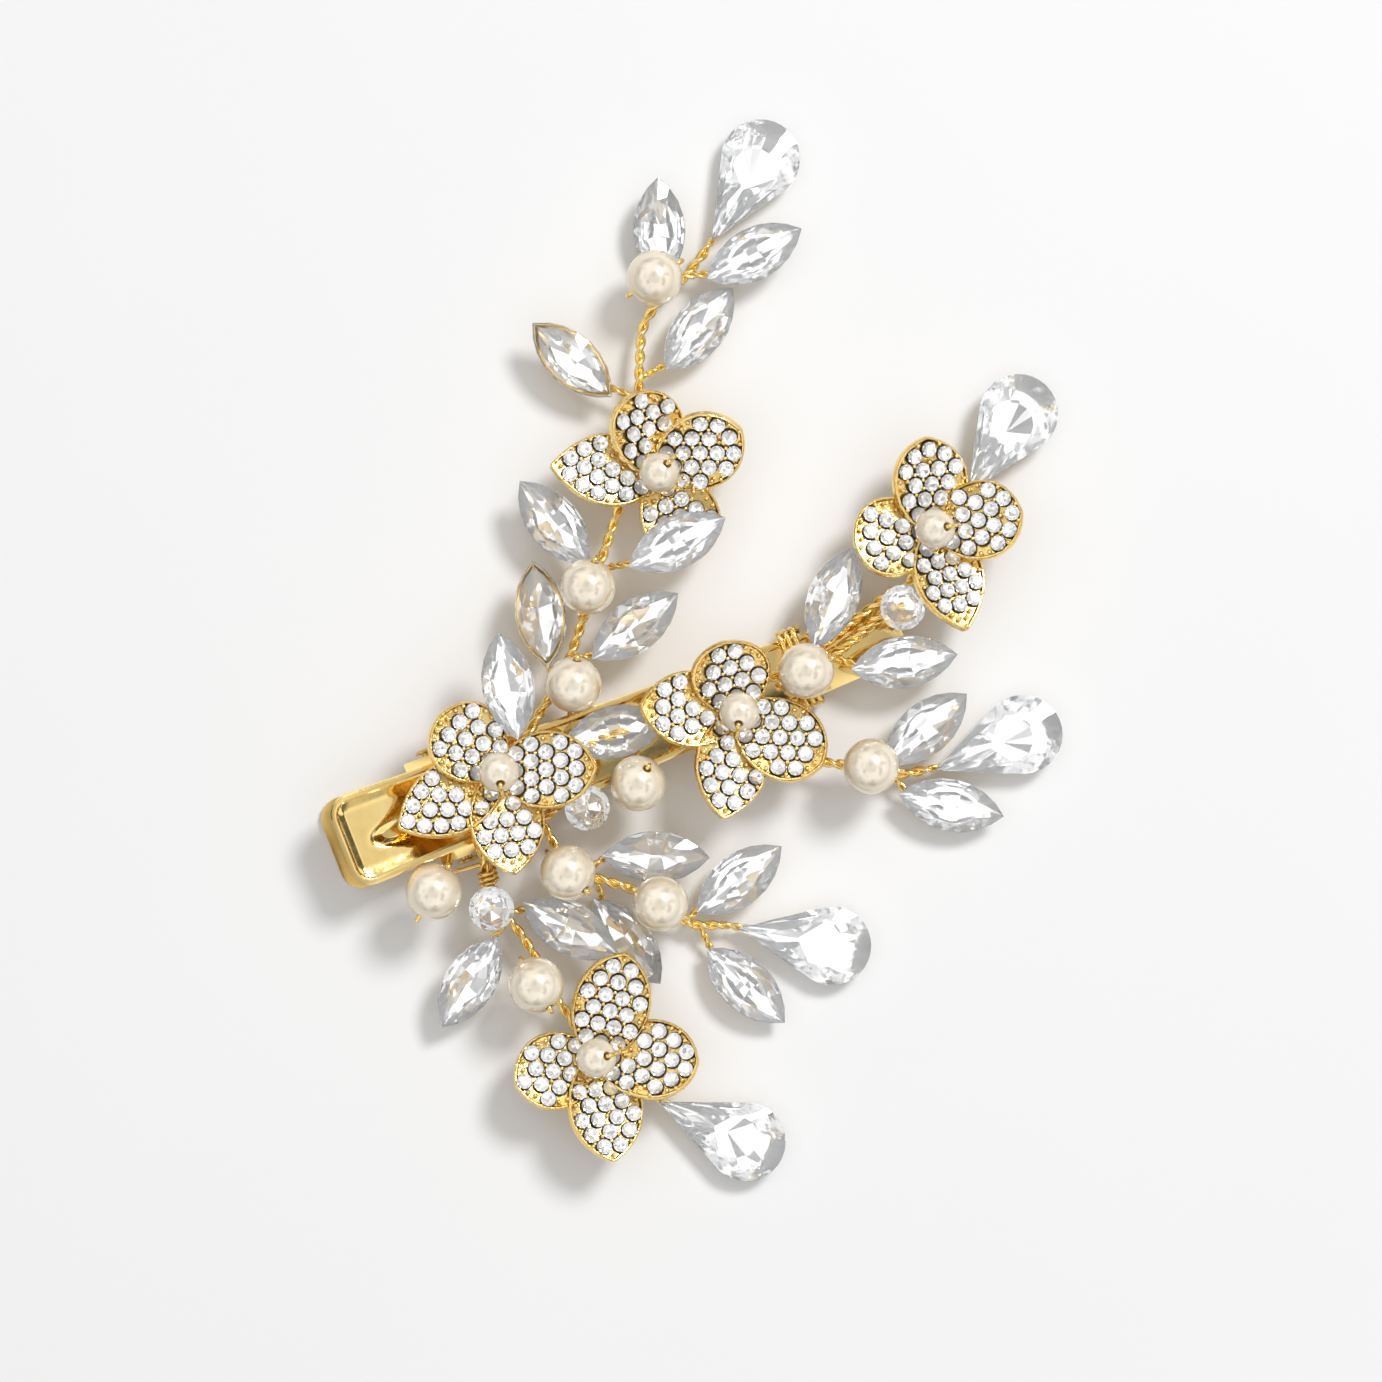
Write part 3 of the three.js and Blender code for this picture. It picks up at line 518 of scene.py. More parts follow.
on_stem = {  # the crystals that each stem carries
    "stem_top": ["leaf_crystal_0%d" % i for i in range(1, 10)] + ["drop_crystal_01"],
    "stem_front": ["leaf_crystal_%d" % i for i in range(10, 15)]
    + ["drop_crystal_02", "drop_crystal_03", "round_crystal_02"],
    "stem_side": ["leaf_crystal_%d" % i for i in range(17, 21)]
    + ["drop_crystal_04", "round_crystal_01"],
    "stem_bottom": ["leaf_crystal_15", "leaf_crystal_16", "drop_crystal_05", "round_crystal_03"],
}
stem_lines = {name: [point for route in routes for point in smooth_route(route, 0.4)]
              for name, routes in stem_routes.items()}


def nearest_on_stem(stem, place):
    return min(stem_lines[stem], key=lambda point: (point - place).length)


def twisted(points, strand, twist, phase=0.0):
    """Two strands wound round each other along a route."""
    line = smooth_route(points, strand * 0.6)
    side = (line[1] - line[0]).orthogonal().normalized()
    ways = ([], [])
    travelled = 0.0
    for index, point in enumerate(line):
        ahead = (line[min(index + 1, len(line) - 1)] - line[max(index - 1, 0)]).normalized()
        side = (side - side.dot(ahead) * ahead).normalized()
        other = ahead.cross(side)
        if index:
            travelled += (point - line[index - 1]).length
        for half, way in enumerate(ways):
            angle = math.tau * travelled / twist + math.pi * half + phase
            out = side * math.cos(angle) + other * math.sin(angle)
            way.append(point + out * strand * 0.48)
    return [(way, strand) for way in ways]


cup_gold = gold_plate(
    "gold_plated_cup", (0.97, 0.74, 0.32), (0.92, 0.63, 0.22), 0.1, 0.22, 1.0 * MM, 0.1)


def setting_cup(made, outline, place, rim_size, rim_height):
    """A thin cup: a floor, and a wall that leans out along the back of the crystal."""
    rim = [made.verts.new(place @ Vector(point))
           for point in layer(outline, rim_size, rim_height * MM)]
    floor = [made.verts.new(place @ Vector(point))
             for point in layer(outline, CUP_FLOOR, -CUP_DEPTH * MM + CUP_WALL)]
    loops = [[made.edges.new((ring[i - 1], ring[i])) for i in range(len(ring))]
             for ring in (rim, floor)]
    wall = bmesh.ops.bridge_loops(made, edges=loops[0] + loops[1])["faces"]
    bottom = made.faces.new(floor)
    shell = [*wall, bottom]
    bmesh.ops.recalc_face_normals(made, faces=shell)
    bmesh.ops.solidify(made, geom=shell, thickness=CUP_WALL)


stem_strands = {}
for stem, routes in stem_routes.items():
    strands = []
    for route in routes:
        strands += twisted(route, STRAND, STEM_TWIST)
    cups = bmesh.new()
    for node in on_stem[stem]:
        place, outline = crystals[node]
        setting_cup(cups, outline, place, *(WIDE_RIM if node in WIDE_CUPS else CUP_RIM))
        inner = min(x for x, y in outline) / MM

        def at(x, z):
            return place @ Vector((x * MM, 0, z * MM)) / MM

        def from_stem(x):
            return (nearest_on_stem(stem, at(x, TWIG_LEVEL)) - at(x, TWIG_LEVEL)).length

        if node.startswith("leaf") and from_stem(-inner) < from_stem(inner):
            inner = -inner
        under_cup = at(inner * 0.3, TWIG_LEVEL - 0.2)
        elbow = at(inner * 0.72, TWIG_LEVEL + 0.1)
        foot = nearest_on_stem(stem, at(inner * 1.2, TWIG_LEVEL))
        strands += twisted([under_cup, elbow, foot], TWIG_STRAND, TWIG_TWIST)
    add_piece(stem + "_cups", cups, [cup_gold], "upper_jaw", "gold_plate")
    stem_strands[stem] = strands

# A second pair lies beside the front stem where it leaves the jaw tip, and the bottom stem
# is bound by a few loose turns just before its round crystal.
beside_front = [
    lane(41.8, 0.9, 0.3), lane(45.2, 2.0, 0.4), lane(48.6, 3.0, 0.3), free(52, 4, -0.9)]
stem_strands["stem_front"] += twisted(beside_front, STRAND, STEM_TWIST, 0.8)
stem_strands["stem_front"] += twisted(
    [Vector(point) + Vector((0.5, -1.5, -0.1)) for point in beside_front], STRAND, STEM_TWIST)
wrap_from, wrap_to = Vector(free(1.55, -7.7, 0.1)), Vector(free(1.35, -9.3, -0.3))
wrap_side = (wrap_to - wrap_from).orthogonal().normalized()
wrap_up = (wrap_to - wrap_from).cross(wrap_side).normalized()
WRAP_TURNS, WRAP_STEPS, WRAP_RADIUS = 3, 12, 0.9
wrap = []
for step in range(WRAP_TURNS * WRAP_STEPS + 1):
    angle = math.tau * step / WRAP_STEPS
    wrap.append(wrap_from.lerp(wrap_to, step / (WRAP_TURNS * WRAP_STEPS))
                + (wrap_side * math.cos(angle) + wrap_up * math.sin(angle)) * WRAP_RADIUS)
stem_strands["stem_bottom"].append((smooth_route(wrap, 0.3), TWIG_STRAND))

# ---------------------------------------------------------------- pearls
# Glass beads with a cream pearl coat, drilled through. Each is threaded on one strand whose
# ends are twisted back into the stem, or left as a short tail.

BORE = 0.46 * MM
PEARL_LIP = 0.12 * MM
PEARL_THREAD = 0.5
CENTRE_THREAD = 0.46

pearl_coat, pearl_shader, pearl_place = new_finish(
    "cream_pearl_coat", Metallic=0.3, Coat_Weight=1.0, Coat_Roughness=0.07, Coat_IOR=1.65,
    Coat_Tint=(0.97, 0.91, 0.80, 1), Sheen_Weight=0.45, Sheen_Roughness=0.35,
    Sheen_Tint=(0.92, 0.69, 0.31, 1), Subsurface_Weight=0.1, Subsurface_Scale=1.0 * MM, IOR=1.5)
cloud = speckle(pearl_coat, pearl_place, 2.5 * MM, 0.0, 1.0)
drive(pearl_coat, pearl_shader,
      Base_Color=between(pearl_coat, cloud, (0.97, 0.94, 0.88), (0.93, 0.88, 0.80)),
      Roughness=speckle(pearl_coat, pearl_place, 0.8 * MM, 0.18, 0.26))
rough_skin(pearl_coat, pearl_shader, speckle(pearl_coat, pearl_place, 0.9 * MM, 0.0, 1.0),
           0.05, 0.03 * MM)


def drilled_pearl(name, node, bore_heading, bore_rise, sides, arcs):
    """A bead with a bore that points along a heading and rises above the level."""
    low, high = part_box(node)
    centre, radius = (low + high) / 2, (high.z - low.z) / 2
    start = math.acos((BORE + PEARL_LIP) / radius)
    profile = [(BORE, 0, -radius * math.sin(start) * 0.97)]
    for step in range(arcs + 1):
        angle = start * (2 * step / arcs - 1)
        profile.append((radius * math.cos(angle), 0, radius * math.sin(angle)))
    profile.append((BORE, 0, radius * math.sin(start) * 0.97))
    profile.append(profile[0])
    bead = bmesh.new()
    turned(bead, profile, (0, 0, 0), (0, 0, 1), sides)
    along = Vector((math.cos(bore_heading) * math.cos(bore_rise),
                    math.sin(bore_heading) * math.cos(bore_rise), math.sin(bore_rise)))
    turn = along.to_track_quat("Z", "Y").to_matrix().to_4x4()
    bmesh.ops.transform(bead, verts=bead.verts, matrix=Matrix.Translation(centre) @ turn)
    add_piece(name, bead, [pearl_coat], "upper_jaw", "pearl", node)
    return centre / MM, radius / MM, along


# Stem, heading and rise of the end of the bore that shows, and whether the other end of the
# wire is a tail instead of going back to the stem.
threading = [
    ("stem_top", 12, 0, False), ("stem_top", 53, 20, False), ("stem_top", 60, 25, False),
    ("stem_front", 37, 48, True), ("stem_front", 5, 15, False), ("stem_front", -30, 0, False),
    ("stem_bottom", 38, 12, True), ("stem_side", -65, 25, False), ("stem_side", -50, 0, False),
    ("stem_bottom", -80, 20, False),
]
for number, (stem, heading, rise, tail) in enumerate(threading, 1):
    node = "pearl_%02d" % number
    centre, radius, along = drilled_pearl(
        node + "_bead", node, math.radians(heading), math.radians(rise), 48, 24)
    beside = radius + STRAND / 2

    def on(reach, drop):
        return centre + along * reach - Vector((0, 0, drop))

    ends = []
    for way in (1, -1):
        if tail and way < 0:
            ends.append([on(-radius * 0.7, 0), on(-beside - 0.5, 0.1)])
            continue
        tucked_under = on(way * radius * 0.75, radius * 0.95)
        ends.append([on(way * radius * 0.7, 0), on(way * beside, 0.1),
                     on(way * (beside + 0.15), radius * 0.45), tucked_under,
                     nearest_on_stem(stem, tucked_under)])
    thread = [*reversed(ends[1]), centre, *ends[0]]
    stem_strands[stem].append((smooth_route(thread, 0.3), PEARL_THREAD))

# ---------------------------------------------------------------- flowers
# One gold casting each: four cupped petals on a hub, with a smooth raised rim round a bed
# of drilled seats. A small foiled stone sits in each seat under tiny beads raised from it.

PETAL_WIDTH = 8.2 * MM
PETAL_THICKNESS = 1.0 * MM
PETAL_NECK = 1.4 * MM
SIDE_STEPS = 13                    # points along each side of a petal
SIDE_END = 0.985                   # the two sides stop just short of meeting at the tip
SEAT_DEPTH = 0.06 * MM             # from the rim's crest down to a seat's mouth
STONE_RADIUS = 0.81 * MM
STONE_CUT = (0.34 * MM, 0.08 * MM, 0.24 * MM)     # crown, girdle and pavilion
STONE_LIFT = 0.3 * MM              # of the girdle above the seat's mouth
STONE_PITCH = 1.86 * MM
START_PITCH = 1.8 * MM             # before the stones push apart
SEAT_MARGIN = 1.04 * MM            # from a stone's centre to the petal's edge
BEAD_RADIUS = 0.26 * MM
BEAD_PITCH = 0.7 * MM

cast_gold = gold_plate(
    "cast_gold_plate", (0.97, 0.73, 0.30), (0.88, 0.60, 0.19), 0.14, 0.32, 0.4 * MM, 0.6)
# Near-black metal for the cones under the small stones: painted shadow, for the dark gaps round
# each stone.
seat_shadow, seat_shader, seat_place = new_finish("painted_shadow_in_seats", Metallic=1.0)
drive(
    seat_shadow, seat_shader,
    Base_Color=between(seat_shadow, speckle(seat_shadow, seat_place, 1 * MM, 0.0, 1.0),
                       (0.16, 0.10, 0.04), (0.06, 0.04, 0.02)),
    Roughness=speckle(seat_shadow, seat_place, 0.3 * MM, 0.35, 0.6))


def petal_outline(length, fullness):
    """A neck that swells into a leaf. A full petal ends nearly round, a lean one in a point."""
    swell = 0.68 * PETAL_WIDTH
    side = []
    for step in range(SIDE_STEPS + 1):
        t = step / SIDE_STEPS * SIDE_END
        rise, fall = 3 * t * (1 - t) ** 2, 3 * t * t * (1 - t)
        x = (rise * 0.32 + fall * fullness + t ** 3) * length
        side.append((x, PETAL_NECK * (1 - t) ** 3 + (rise + fall * fullness) * swell))
    return [*((x, -y) for x, y in side), *reversed(side)]


def cupping(x, y, length):
    """How far the petal's surface stands above flat: its sides and tip curl up a little."""
    return 0.42 * MM * (y / (PETAL_WIDTH / 2)) ** 2 + 0.35 * MM * (x / length) ** 3 - 0.2 * MM


def inward(spot, outline):
    """How far a point is inside the outline, and the way in from the nearest edge."""
    nearest = None
    for start, end in zip(outline, outline[1:] + outline[:1]):
        start, way = Vector(start), Vector(end) - Vector(start)
        share = min(max((spot - start).dot(way) / way.length_squared, 0), 1)
        gap = spot - (start + way * share)
        side = 1 if way.cross(spot - start) > 0 else -1
        if nearest is None or gap.length < abs(nearest[0]):
            nearest = (side * gap.length, gap.normalized() * side)
    return nearest


def seat_spots(length, outline):
    """Stone centres: a close packing whose stones then push apart to fill the petal."""
    rise = START_PITCH * math.sqrt(3) / 2
    spots = []
    for row in range(9):
        for place in range(-3, 4):
            spot = Vector((1.9 * MM + row * rise, (place + (row % 2) / 2) * START_PITCH))
            if inward(spot, outline)[0] > SEAT_MARGIN * 0.7:
                spots.append(spot)
    for _ in range(30):
        moved = []
        for spot in spots:
            push = Vector((0, 0))
            for other in spots:
                gap = (spot - other).length
                if 0 < gap < STONE_PITCH:
                    push += (spot - other) / gap * (STONE_PITCH - gap) * 0.3
            depth, way_in = inward(spot + push, outline)
            moved.append(spot + push + way_in * max(SEAT_MARGIN - depth, 0))
        spots = moved
    for column in range(int(length / (0.25 * MM))):
        for line in range(-14, 15):
            spot = Vector((1.9 * MM + column * 0.25 * MM, line * 0.27 * MM))
            if min((spot - other).length for other in spots) > STONE_RADIUS:
                if inward(spot, outline)[0] > SEAT_MARGIN * 0.96:
                    spots.append(spot)
    kept = []
    for spot in spots:
        if all((spot - other).length > STONE_RADIUS * 2.04 for other in kept):
            kept.append(spot)
    return kept


def bead_spots(length, outline, spots):
    """Where the raised beads stand: the roomiest places left between the stones."""
    free_places = []
    for column in range(int(length / (0.3 * MM))):
        for line in range(-14, 15):
            place = Vector((1.5 * MM + column * 0.3 * MM, line * 0.3 * MM))
            gap = min((place - spot).length for spot in spots) - STONE_RADIUS
            if gap > 0.16 * MM:
                gap = min(gap, inward(place, outline)[0] - 0.12 * MM)
                if gap > 0.16 * MM:
                    free_places.append((min(gap, 0.42 * MM), place))
    beads = []
    for gap, place in sorted(free_places, key=lambda found: -found[0]):
        if all((place - other).length > BEAD_PITCH for other in beads):
            beads.append(place)
    return beads


# Radius and height round the hub, from below to above.
HUB = [(0, -0.5), (2.0, -0.5), (2.3, -0.3), (2.3, 0.15), (1.9, 0.4), (0, 0.4)]
# Each step of the rim from the side wall to the bed: how far in, and how far up or down.
RIM_STEPS = [(0.07, 0.13), (0.1, 0.09), (0.1, 0.0), (0.07, -0.12), (0.08, -0.16)]


def cast_petal(made, length, outline, place):
    """A petal with rounded rim and sunk bed, cut into small cells and then cupped."""
    petal = bmesh.new()
    wall = PETAL_THICKNESS / 2 - 0.22 * MM
    face = petal.faces.new([petal.verts.new((x, y, wall)) for x, y in outline])
    base = bmesh.ops.extrude_face_region(petal, geom=[face])["geom"]
    bottom = [item for item in base if isinstance(item, bmesh.types.BMVert)]
    bmesh.ops.translate(petal, verts=bottom, vec=(0, 0, -wall - PETAL_THICKNESS / 2))
    bmesh.ops.recalc_face_normals(petal, faces=petal.faces)
    top = max(petal.faces, key=lambda each: each.normal.z)
    for across, up in RIM_STEPS:
        bmesh.ops.inset_region(petal, faces=[top], thickness=across * MM, depth=up * MM,
                               use_boundary=True, use_even_offset=False)
    cuts = [((x * MM, 0, 0), (1, 0, 0)) for x in range(1, int(length / MM) + 1)]
    cuts += [((0, y * MM, 0), (0, 1, 0)) for y in range(-3, 4)]
    for spot, normal in cuts:
        everything = [*petal.verts, *petal.edges, *petal.faces]
        bmesh.ops.bisect_plane(petal, geom=everything, dist=0.001 * MM,
                               plane_co=spot, plane_no=normal)
    for vert in petal.verts:
        vert.co.z += cupping(vert.co.x, vert.co.y, length)
    bmesh.ops.transform(petal, verts=petal.verts, matrix=place)
    part = bpy.data.meshes.new("petal")
    petal.to_mesh(part)
    petal.free()
    made.from_mesh(part)
    bpy.data.meshes.remove(part)


def seat_frame(spot, length, place):
    """The place of a seat on a cupped petal, turned square to the surface there."""
    step = 0.1 * MM
    here = cupping(spot.x, spot.y, length)
    lean_x = (cupping(spot.x + step, spot.y, length) - here) / step
    lean_y = (cupping(spot.x, spot.y + step, length) - here) / step
    up = Vector((-lean_x, -lean_y, 1)).normalized()
    side = Vector((1, 0, lean_x)).normalized()
    turn = Matrix((side, up.cross(side), up)).transposed().to_4x4()
    turn.translation = (spot.x, spot.y, here + PETAL_THICKNESS / 2 - SEAT_DEPTH)
    return place @ turn


def buried(spot, others):
    """Whether another petal of the flower covers this place."""
    for place, length, outline in others:
        local = place.inverted() @ spot
        top = cupping(local.x, local.y, length) + PETAL_THICKNESS / 2 - 0.1 * MM
        if local.z < top and inward(local.to_2d(), outline)[0] > -0.2 * MM:
            return True
    return False


def petal_turn(heading, pitch, roll):
    return (Matrix.Rotation(math.radians(heading), 4, "Z")
            @ Matrix.Rotation(math.radians(-pitch), 4, "Y")
            @ Matrix.Rotation(math.radians(roll), 4, "X"))


# The stem each flower is wired to, the heading of its pearl's hook, and each petal's
# heading, length, fullness, pitch and roll.
flowers = [
    ("stem_top", 24, [(85, 9, 0.95, 8, 26), (7, 10, 0.88, 8, 18),
                      (155, 11.7, 0.74, 8, 8), (-86, 10, 0.9, -3, -6)]),
    ("stem_front", -101, [(116, 8.8, 0.95, 8, 14), (-19, 10.4, 0.86, 8, -6),
                          (-172, 12.3, 0.76, 8, 10), (-103, 11, 0.8, 6, -10)]),
    ("stem_front", -116, [(82, 7.8, 0.95, 12, 12), (155, 10.8, 0.82, 12, 6),
                          (-120, 11.5, 0.78, 6, -12), (-54, 10.5, 0.92, 6, -8)]),
    ("stem_front", -11, [(74, 9.9, 0.88, 6, 18), (-10, 9.6, 0.92, 8, -8),
                         (169, 8.7, 0.95, 8, 10), (-94, 11.3, 0.74, 6, -20)]),
    ("stem_bottom", -6, [(53, 11.6, 0.86, 7, 6), (-24, 10.9, 0.93, 7, -12),
                         (178, 9.2, 0.88, 7, 10), (-102, 11.3, 0.82, 7, -16)]),
]
flower_roots = []
for number, (stem, hook_heading, petals) in enumerate(flowers, 1):
    low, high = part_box("centre_pearl_%d" % number)
    root = (low + high) / 2
    root.z = low.z - 0.3 * MM - PETAL_THICKNESS / 2
    flower_roots.append(root)
    casting, stones, seats = bmesh.new(), bmesh.new(), bmesh.new()
    turned(casting, [Vector((x, 0, z)) * MM for x, z in HUB], (0, 0, 0), (0, 0, 1), 32)
    bmesh.ops.translate(casting, verts=casting.verts, vec=root)
    taken = []
    laid_out = [(Matrix.Translation(root) @ petal_turn(heading, pitch, roll), length * MM,
                 petal_outline(length * MM, fullness))
                for heading, length, fullness, pitch, roll in petals]
    for place, length, outline in laid_out:
        others = [petal for petal in laid_out if petal[2] is not outline]
        cast_petal(casting, length, outline, place)
        shown = []
        for spot in seat_spots(length, outline):
            seat = seat_frame(spot, length, place)
            clear = all((seat.translation - other).length > STONE_RADIUS * 1.85 for other in taken)
            if clear and not buried(seat.translation, others):
                shown.append(spot)
                taken.append(seat.translation.copy())
                facets = round_outline(2 * STONE_RADIUS, 2 * STONE_RADIUS, 12)
                lifted = seat @ Matrix.Translation((0, 0, STONE_LIFT))
                cut_stone(stones, facets, *STONE_CUT, lifted, 0.0)
                # A near-black cone under each stone, whose rim shows round it as a painted shadow.
                bmesh.ops.create_cone(
                    seats, cap_ends=True, segments=14, radius1=STONE_RADIUS * 1.16,
                    radius2=STONE_RADIUS * 1.08, depth=0.3 * MM,
                    matrix=seat @ Matrix.Translation((0, 0, -0.1 * MM)))
        for spot in bead_spots(length, outline, shown):
            seat = seat_frame(spot, length, place)
            bmesh.ops.create_uvsphere(
                casting, u_segments=8, v_segments=6, radius=BEAD_RADIUS,
                matrix=seat @ Matrix.Translation((0, 0, 0.16 * MM)))
    flower = "flower_%d" % number
    add_piece(flower + "_casting", casting, [cast_gold], "upper_jaw", "gold_plate", flower)
    add_piece(flower + "_seat_shadows", seats, [seat_shadow], "upper_jaw", "gold_plate")
    add_piece(flower + "_stones", stones, [clear_glass, silver_foil], "upper_jaw",
              "crystal").data.shade_flat()

# ---------------------------------------------------------------- flower centres
# A small pearl is wired into the middle of each flower: the strand comes up through its
# bore, bends over the edge of the hole and hooks back down between two petals.

for number, (stem, hook_heading, petals) in enumerate(flowers, 1):
    node = "centre_pearl_%d" % number
    heading, rise = math.radians(hook_heading), math.radians(52)
    centre, radius, along = drilled_pearl(node + "_bead", node, heading, rise, 40, 20)
    level = Vector((math.cos(heading), math.sin(heading), 0))
    base = flower_roots[number - 1] / MM - Vector((0, 0, 1))
    out = centre + along * (radius + 0.1)
    hook = [base, centre - along * radius * 0.8, centre, centre + along * radius * 0.8, out,
            centre + level * (radius + 0.35) + Vector((0, 0, radius * 0.28)),
            centre + level * (radius + 0.55) - Vector((0, 0, radius * 0.45)),
            centre + level * (radius + 0.3) - Vector((0, 0, radius + 0.7))]
    start = nearest_on_stem(stem, base)
    if (start - base).length > STRAND:
        hook.insert(0, start)
    stem_strands[stem].append((smooth_route(hook, 0.25), CENTRE_THREAD))

for stem, strands in stem_strands.items():
    add_wires(stem + "_wires", strands, wire_gold, "upper_jaw", "gold_plate", stem)

# ---------------------------------------------------------------- bindings
# Gold-plated wire wound tightly round the upper arm and the stems that lie on it, at the
# hinge and near the jaw tip, which is all that holds the spray to the clip.

BINDING_WIRE = 0.6
BINDING_PITCH = 0.75
BINDING_TURNS = 3
TAB_END, JAW_TIP = -11.6, 51.5     # where the upper arm's width is given
HALF_TAB, HALF_TIP = 5, 3.2        # half its width there
ARM_UNDERSIDE = 5.2                # at the hinge


def binding(start, flange):
    """Turns round a rectangle with rounded corners, as wide as the arm at start."""
    share = (start - TAB_END) / (JAW_TIP - TAB_END)
    reach = HALF_TAB + share * (HALF_TIP - HALF_TAB)
    top = lane(start, 0)[2] + 0.6
    bottom = ARM_UNDERSIDE - ARM_SLOPE * (start + BINDING_TURNS / 2) - flange - 0.15
    stand_off = BINDING_WIRE / 2 + 0.3
    corners = [(reach, top), (-reach, top), (-reach, bottom), (reach, bottom)]
    turn = []
    for quarter, (y, z) in enumerate(corners):
        for step in range(5):
            angle = math.pi / 2 * (quarter + step / 4)
            turn.append((y + stand_off * math.cos(angle), z + stand_off * math.sin(angle)))
    route = []
    for step in range(BINDING_TURNS * len(turn) + 1):
        y, z = turn[step % len(turn)]
        route.append((start + step / len(turn) * BINDING_PITCH, y, z))
    return smooth_route(route, 0.3)


add_wires("binding_rear_wire", [(binding(3.5, 1.2), BINDING_WIRE)], wire_gold,
          "upper_jaw", "gold_plate", "binding_rear")
add_wires("binding_front_wire", [(binding(39, 0), BINDING_WIRE)], wire_gold,
          "upper_jaw", "gold_plate", "binding_front")

# ---------------------------------------------------------------- studio
# The clip lies on a plain pale table under a bright tent, with one soft lamp high on the
# far right, and is seen from straight above.

FLOOR_SIDE = 3.0
VIEW_CENTRE = Vector((28.4, 1.9, 5)) * MM
VIEW_WIDTH = 145.5 * MM
VIEW_TURN = math.radians(-21.3)
LENS, SENSOR = 150, 36
LAMP_WAY = Vector((0.82, 0.42, 1.25)).normalized()
LAMP_DISTANCE, LAMP_WIDTH, LAMP_POWER = 1.35, 0.36, 10.0

table_top = bmesh.new()
bmesh.ops.create_grid(table_top, x_segments=1, y_segments=1, size=FLOOR_SIDE / 2,
                      matrix=Matrix.Translation((0, 0, -0.02 * MM)))
table_mesh = bpy.data.meshes.new("studio_floor")
table_top.to_mesh(table_mesh)
table_top.free()
floor = bpy.data.objects.new("studio_floor", table_mesh)
bpy.context.scene.collection.objects.link(floor)
paper, paper_shader, paper_place = new_finish("pale_paper", Specular_IOR_Level=0.0)
drive(
    paper, paper_shader,
    Base_Color=between(paper, speckle(paper, paper_place, 60 * MM, 0.0, 1.0),
                       (0.895, 0.895, 0.895), (0.885, 0.885, 0.887)),
    Roughness=speckle(paper, paper_place, 5 * MM, 0.9, 1.0))
table_mesh.materials.append(paper)

lamp_data = bpy.data.lights.new("soft_lamp", "AREA")
lamp_data.shape = "DISK"
lamp_data.size = LAMP_WIDTH
lamp_data.energy = LAMP_POWER
lamp = bpy.data.objects.new("soft_lamp", lamp_data)
bpy.context.scene.collection.objects.link(lamp)
lamp.location = VIEW_CENTRE + LAMP_WAY * LAMP_DISTANCE
lamp.rotation_mode = "QUATERNION"
lamp.rotation_quaternion = LAMP_WAY.to_track_quat("Z", "Y")

tent = bpy.data.worlds.new("light_tent")
bpy.context.scene.world = tent
tent.use_nodes = True
tent.node_tree.nodes.clear()
way = add_node(tent, "ShaderNodeTexCoord").outputs["Generated"]
height = add_node(tent, "ShaderNodeSeparateXYZ", {"Vector": way}).outputs["Z"]


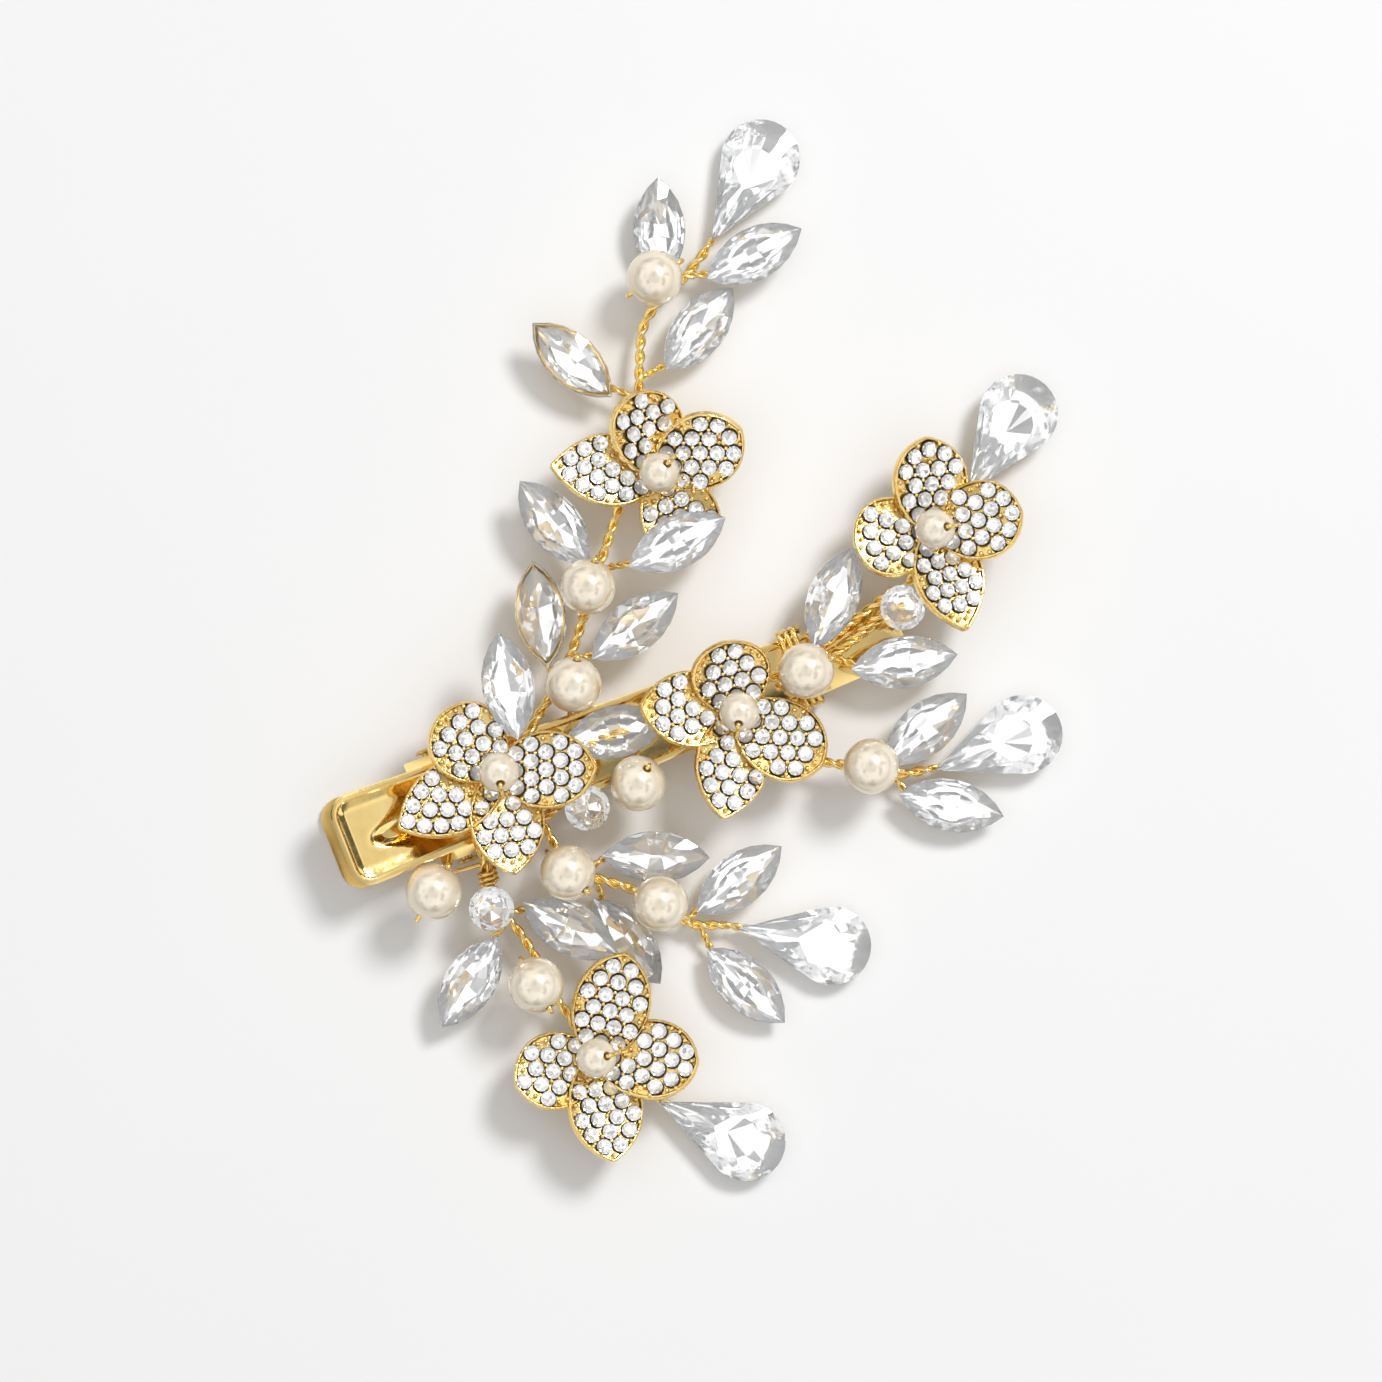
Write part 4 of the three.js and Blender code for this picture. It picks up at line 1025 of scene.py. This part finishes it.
def tent_light(stops, fold_size=None, fold_from=0.0, fold_to=1.0, fold_low=1.0):
    """Light from all round: a brightness for each height, dimmed where the cloth folds."""
    dome = add_node(tent, "ShaderNodeValToRGB", {"Fac": height})
    dome.color_ramp.interpolation = "EASE"
    ramp = dome.color_ramp.elements
    while len(ramp) < len(stops):
        ramp.new(0.5)
    for stop, (at_height, level) in zip(ramp, stops):
        stop.position = at_height
        stop.color = (level, level, level, 1)
    if fold_size is None:
        return add_node(tent, "ShaderNodeBackground", {
            "Color": dome.outputs["Color"], "Strength": 1.0}).outputs["Background"]
    folds = add_node(tent, "ShaderNodeTexNoise", {
        "Vector": way, "Scale": fold_size, "Detail": 1.0})
    dimmed = add_node(tent, "ShaderNodeMapRange", {
        "Value": folds.outputs["Fac"], "From Min": fold_from, "From Max": fold_to,
        "To Min": fold_low, "To Max": 1.0}).outputs["Result"]
    shaded = add_node(tent, "ShaderNodeVectorMath", {0: dome.outputs["Color"]},
                      operation="SCALE")
    tent.node_tree.links.new(dimmed, shaded.inputs["Scale"])
    return add_node(tent, "ShaderNodeBackground", {
        "Color": shaded.outputs["Vector"], "Strength": 1.0}).outputs["Background"]


def light_for(kind, other, special):
    """Gives one kind of ray its own light."""
    rays = add_node(tent, "ShaderNodeLightPath").outputs[kind]
    both = add_node(tent, "ShaderNodeMixShader", {0: rays})
    tent.node_tree.links.new(other, both.inputs[1])
    tent.node_tree.links.new(special, both.inputs[2])
    return both.outputs["Shader"]


overhead = tent_light([(0.0, 0.11), (0.55, 0.18), (0.8, 0.84), (1.0, 1.2)])
on_metal = tent_light(
    [(0.0, 0.35), (0.3, 0.8), (0.6, 1.3), (0.86, 1.15), (0.95, 0.6), (1.0, 0.5)],
    2.3, 0.40, 0.5, 0.10)
through_glass = tent_light(
    [(0.0, 2.0), (0.4, 1.7), (0.8, 1.4), (0.95, 1.0), (1.0, 0.9)], 4.5, 0.41, 0.45, 0.24)
seen = light_for("Is Glossy Ray", overhead, on_metal)
seen = light_for("Is Transmission Ray", seen, through_glass)
backdrop = add_node(tent, "ShaderNodeBackground", {"Color": (0.9, 0.9, 0.9, 1), "Strength": 1.0})
seen = light_for("Is Camera Ray", seen, backdrop.outputs["Background"])
add_node(tent, "ShaderNodeOutputWorld", {"Surface": seen})

camera_data = bpy.data.cameras.new("camera")
camera_data.lens = LENS
camera_data.sensor_width = SENSOR
camera = bpy.data.objects.new("camera", camera_data)
bpy.context.scene.collection.objects.link(camera)
distance = VIEW_WIDTH * LENS / SENSOR
camera.location = VIEW_CENTRE + Vector((0, 0, distance))
camera.rotation_mode = "QUATERNION"
camera.rotation_quaternion = Matrix.Rotation(VIEW_TURN, 3, "Z").to_quaternion()
camera_data.clip_start, camera_data.clip_end = 0.01, 20
bpy.context.scene.camera = camera
bpy.context.scene.view_settings.view_transform = "Standard"
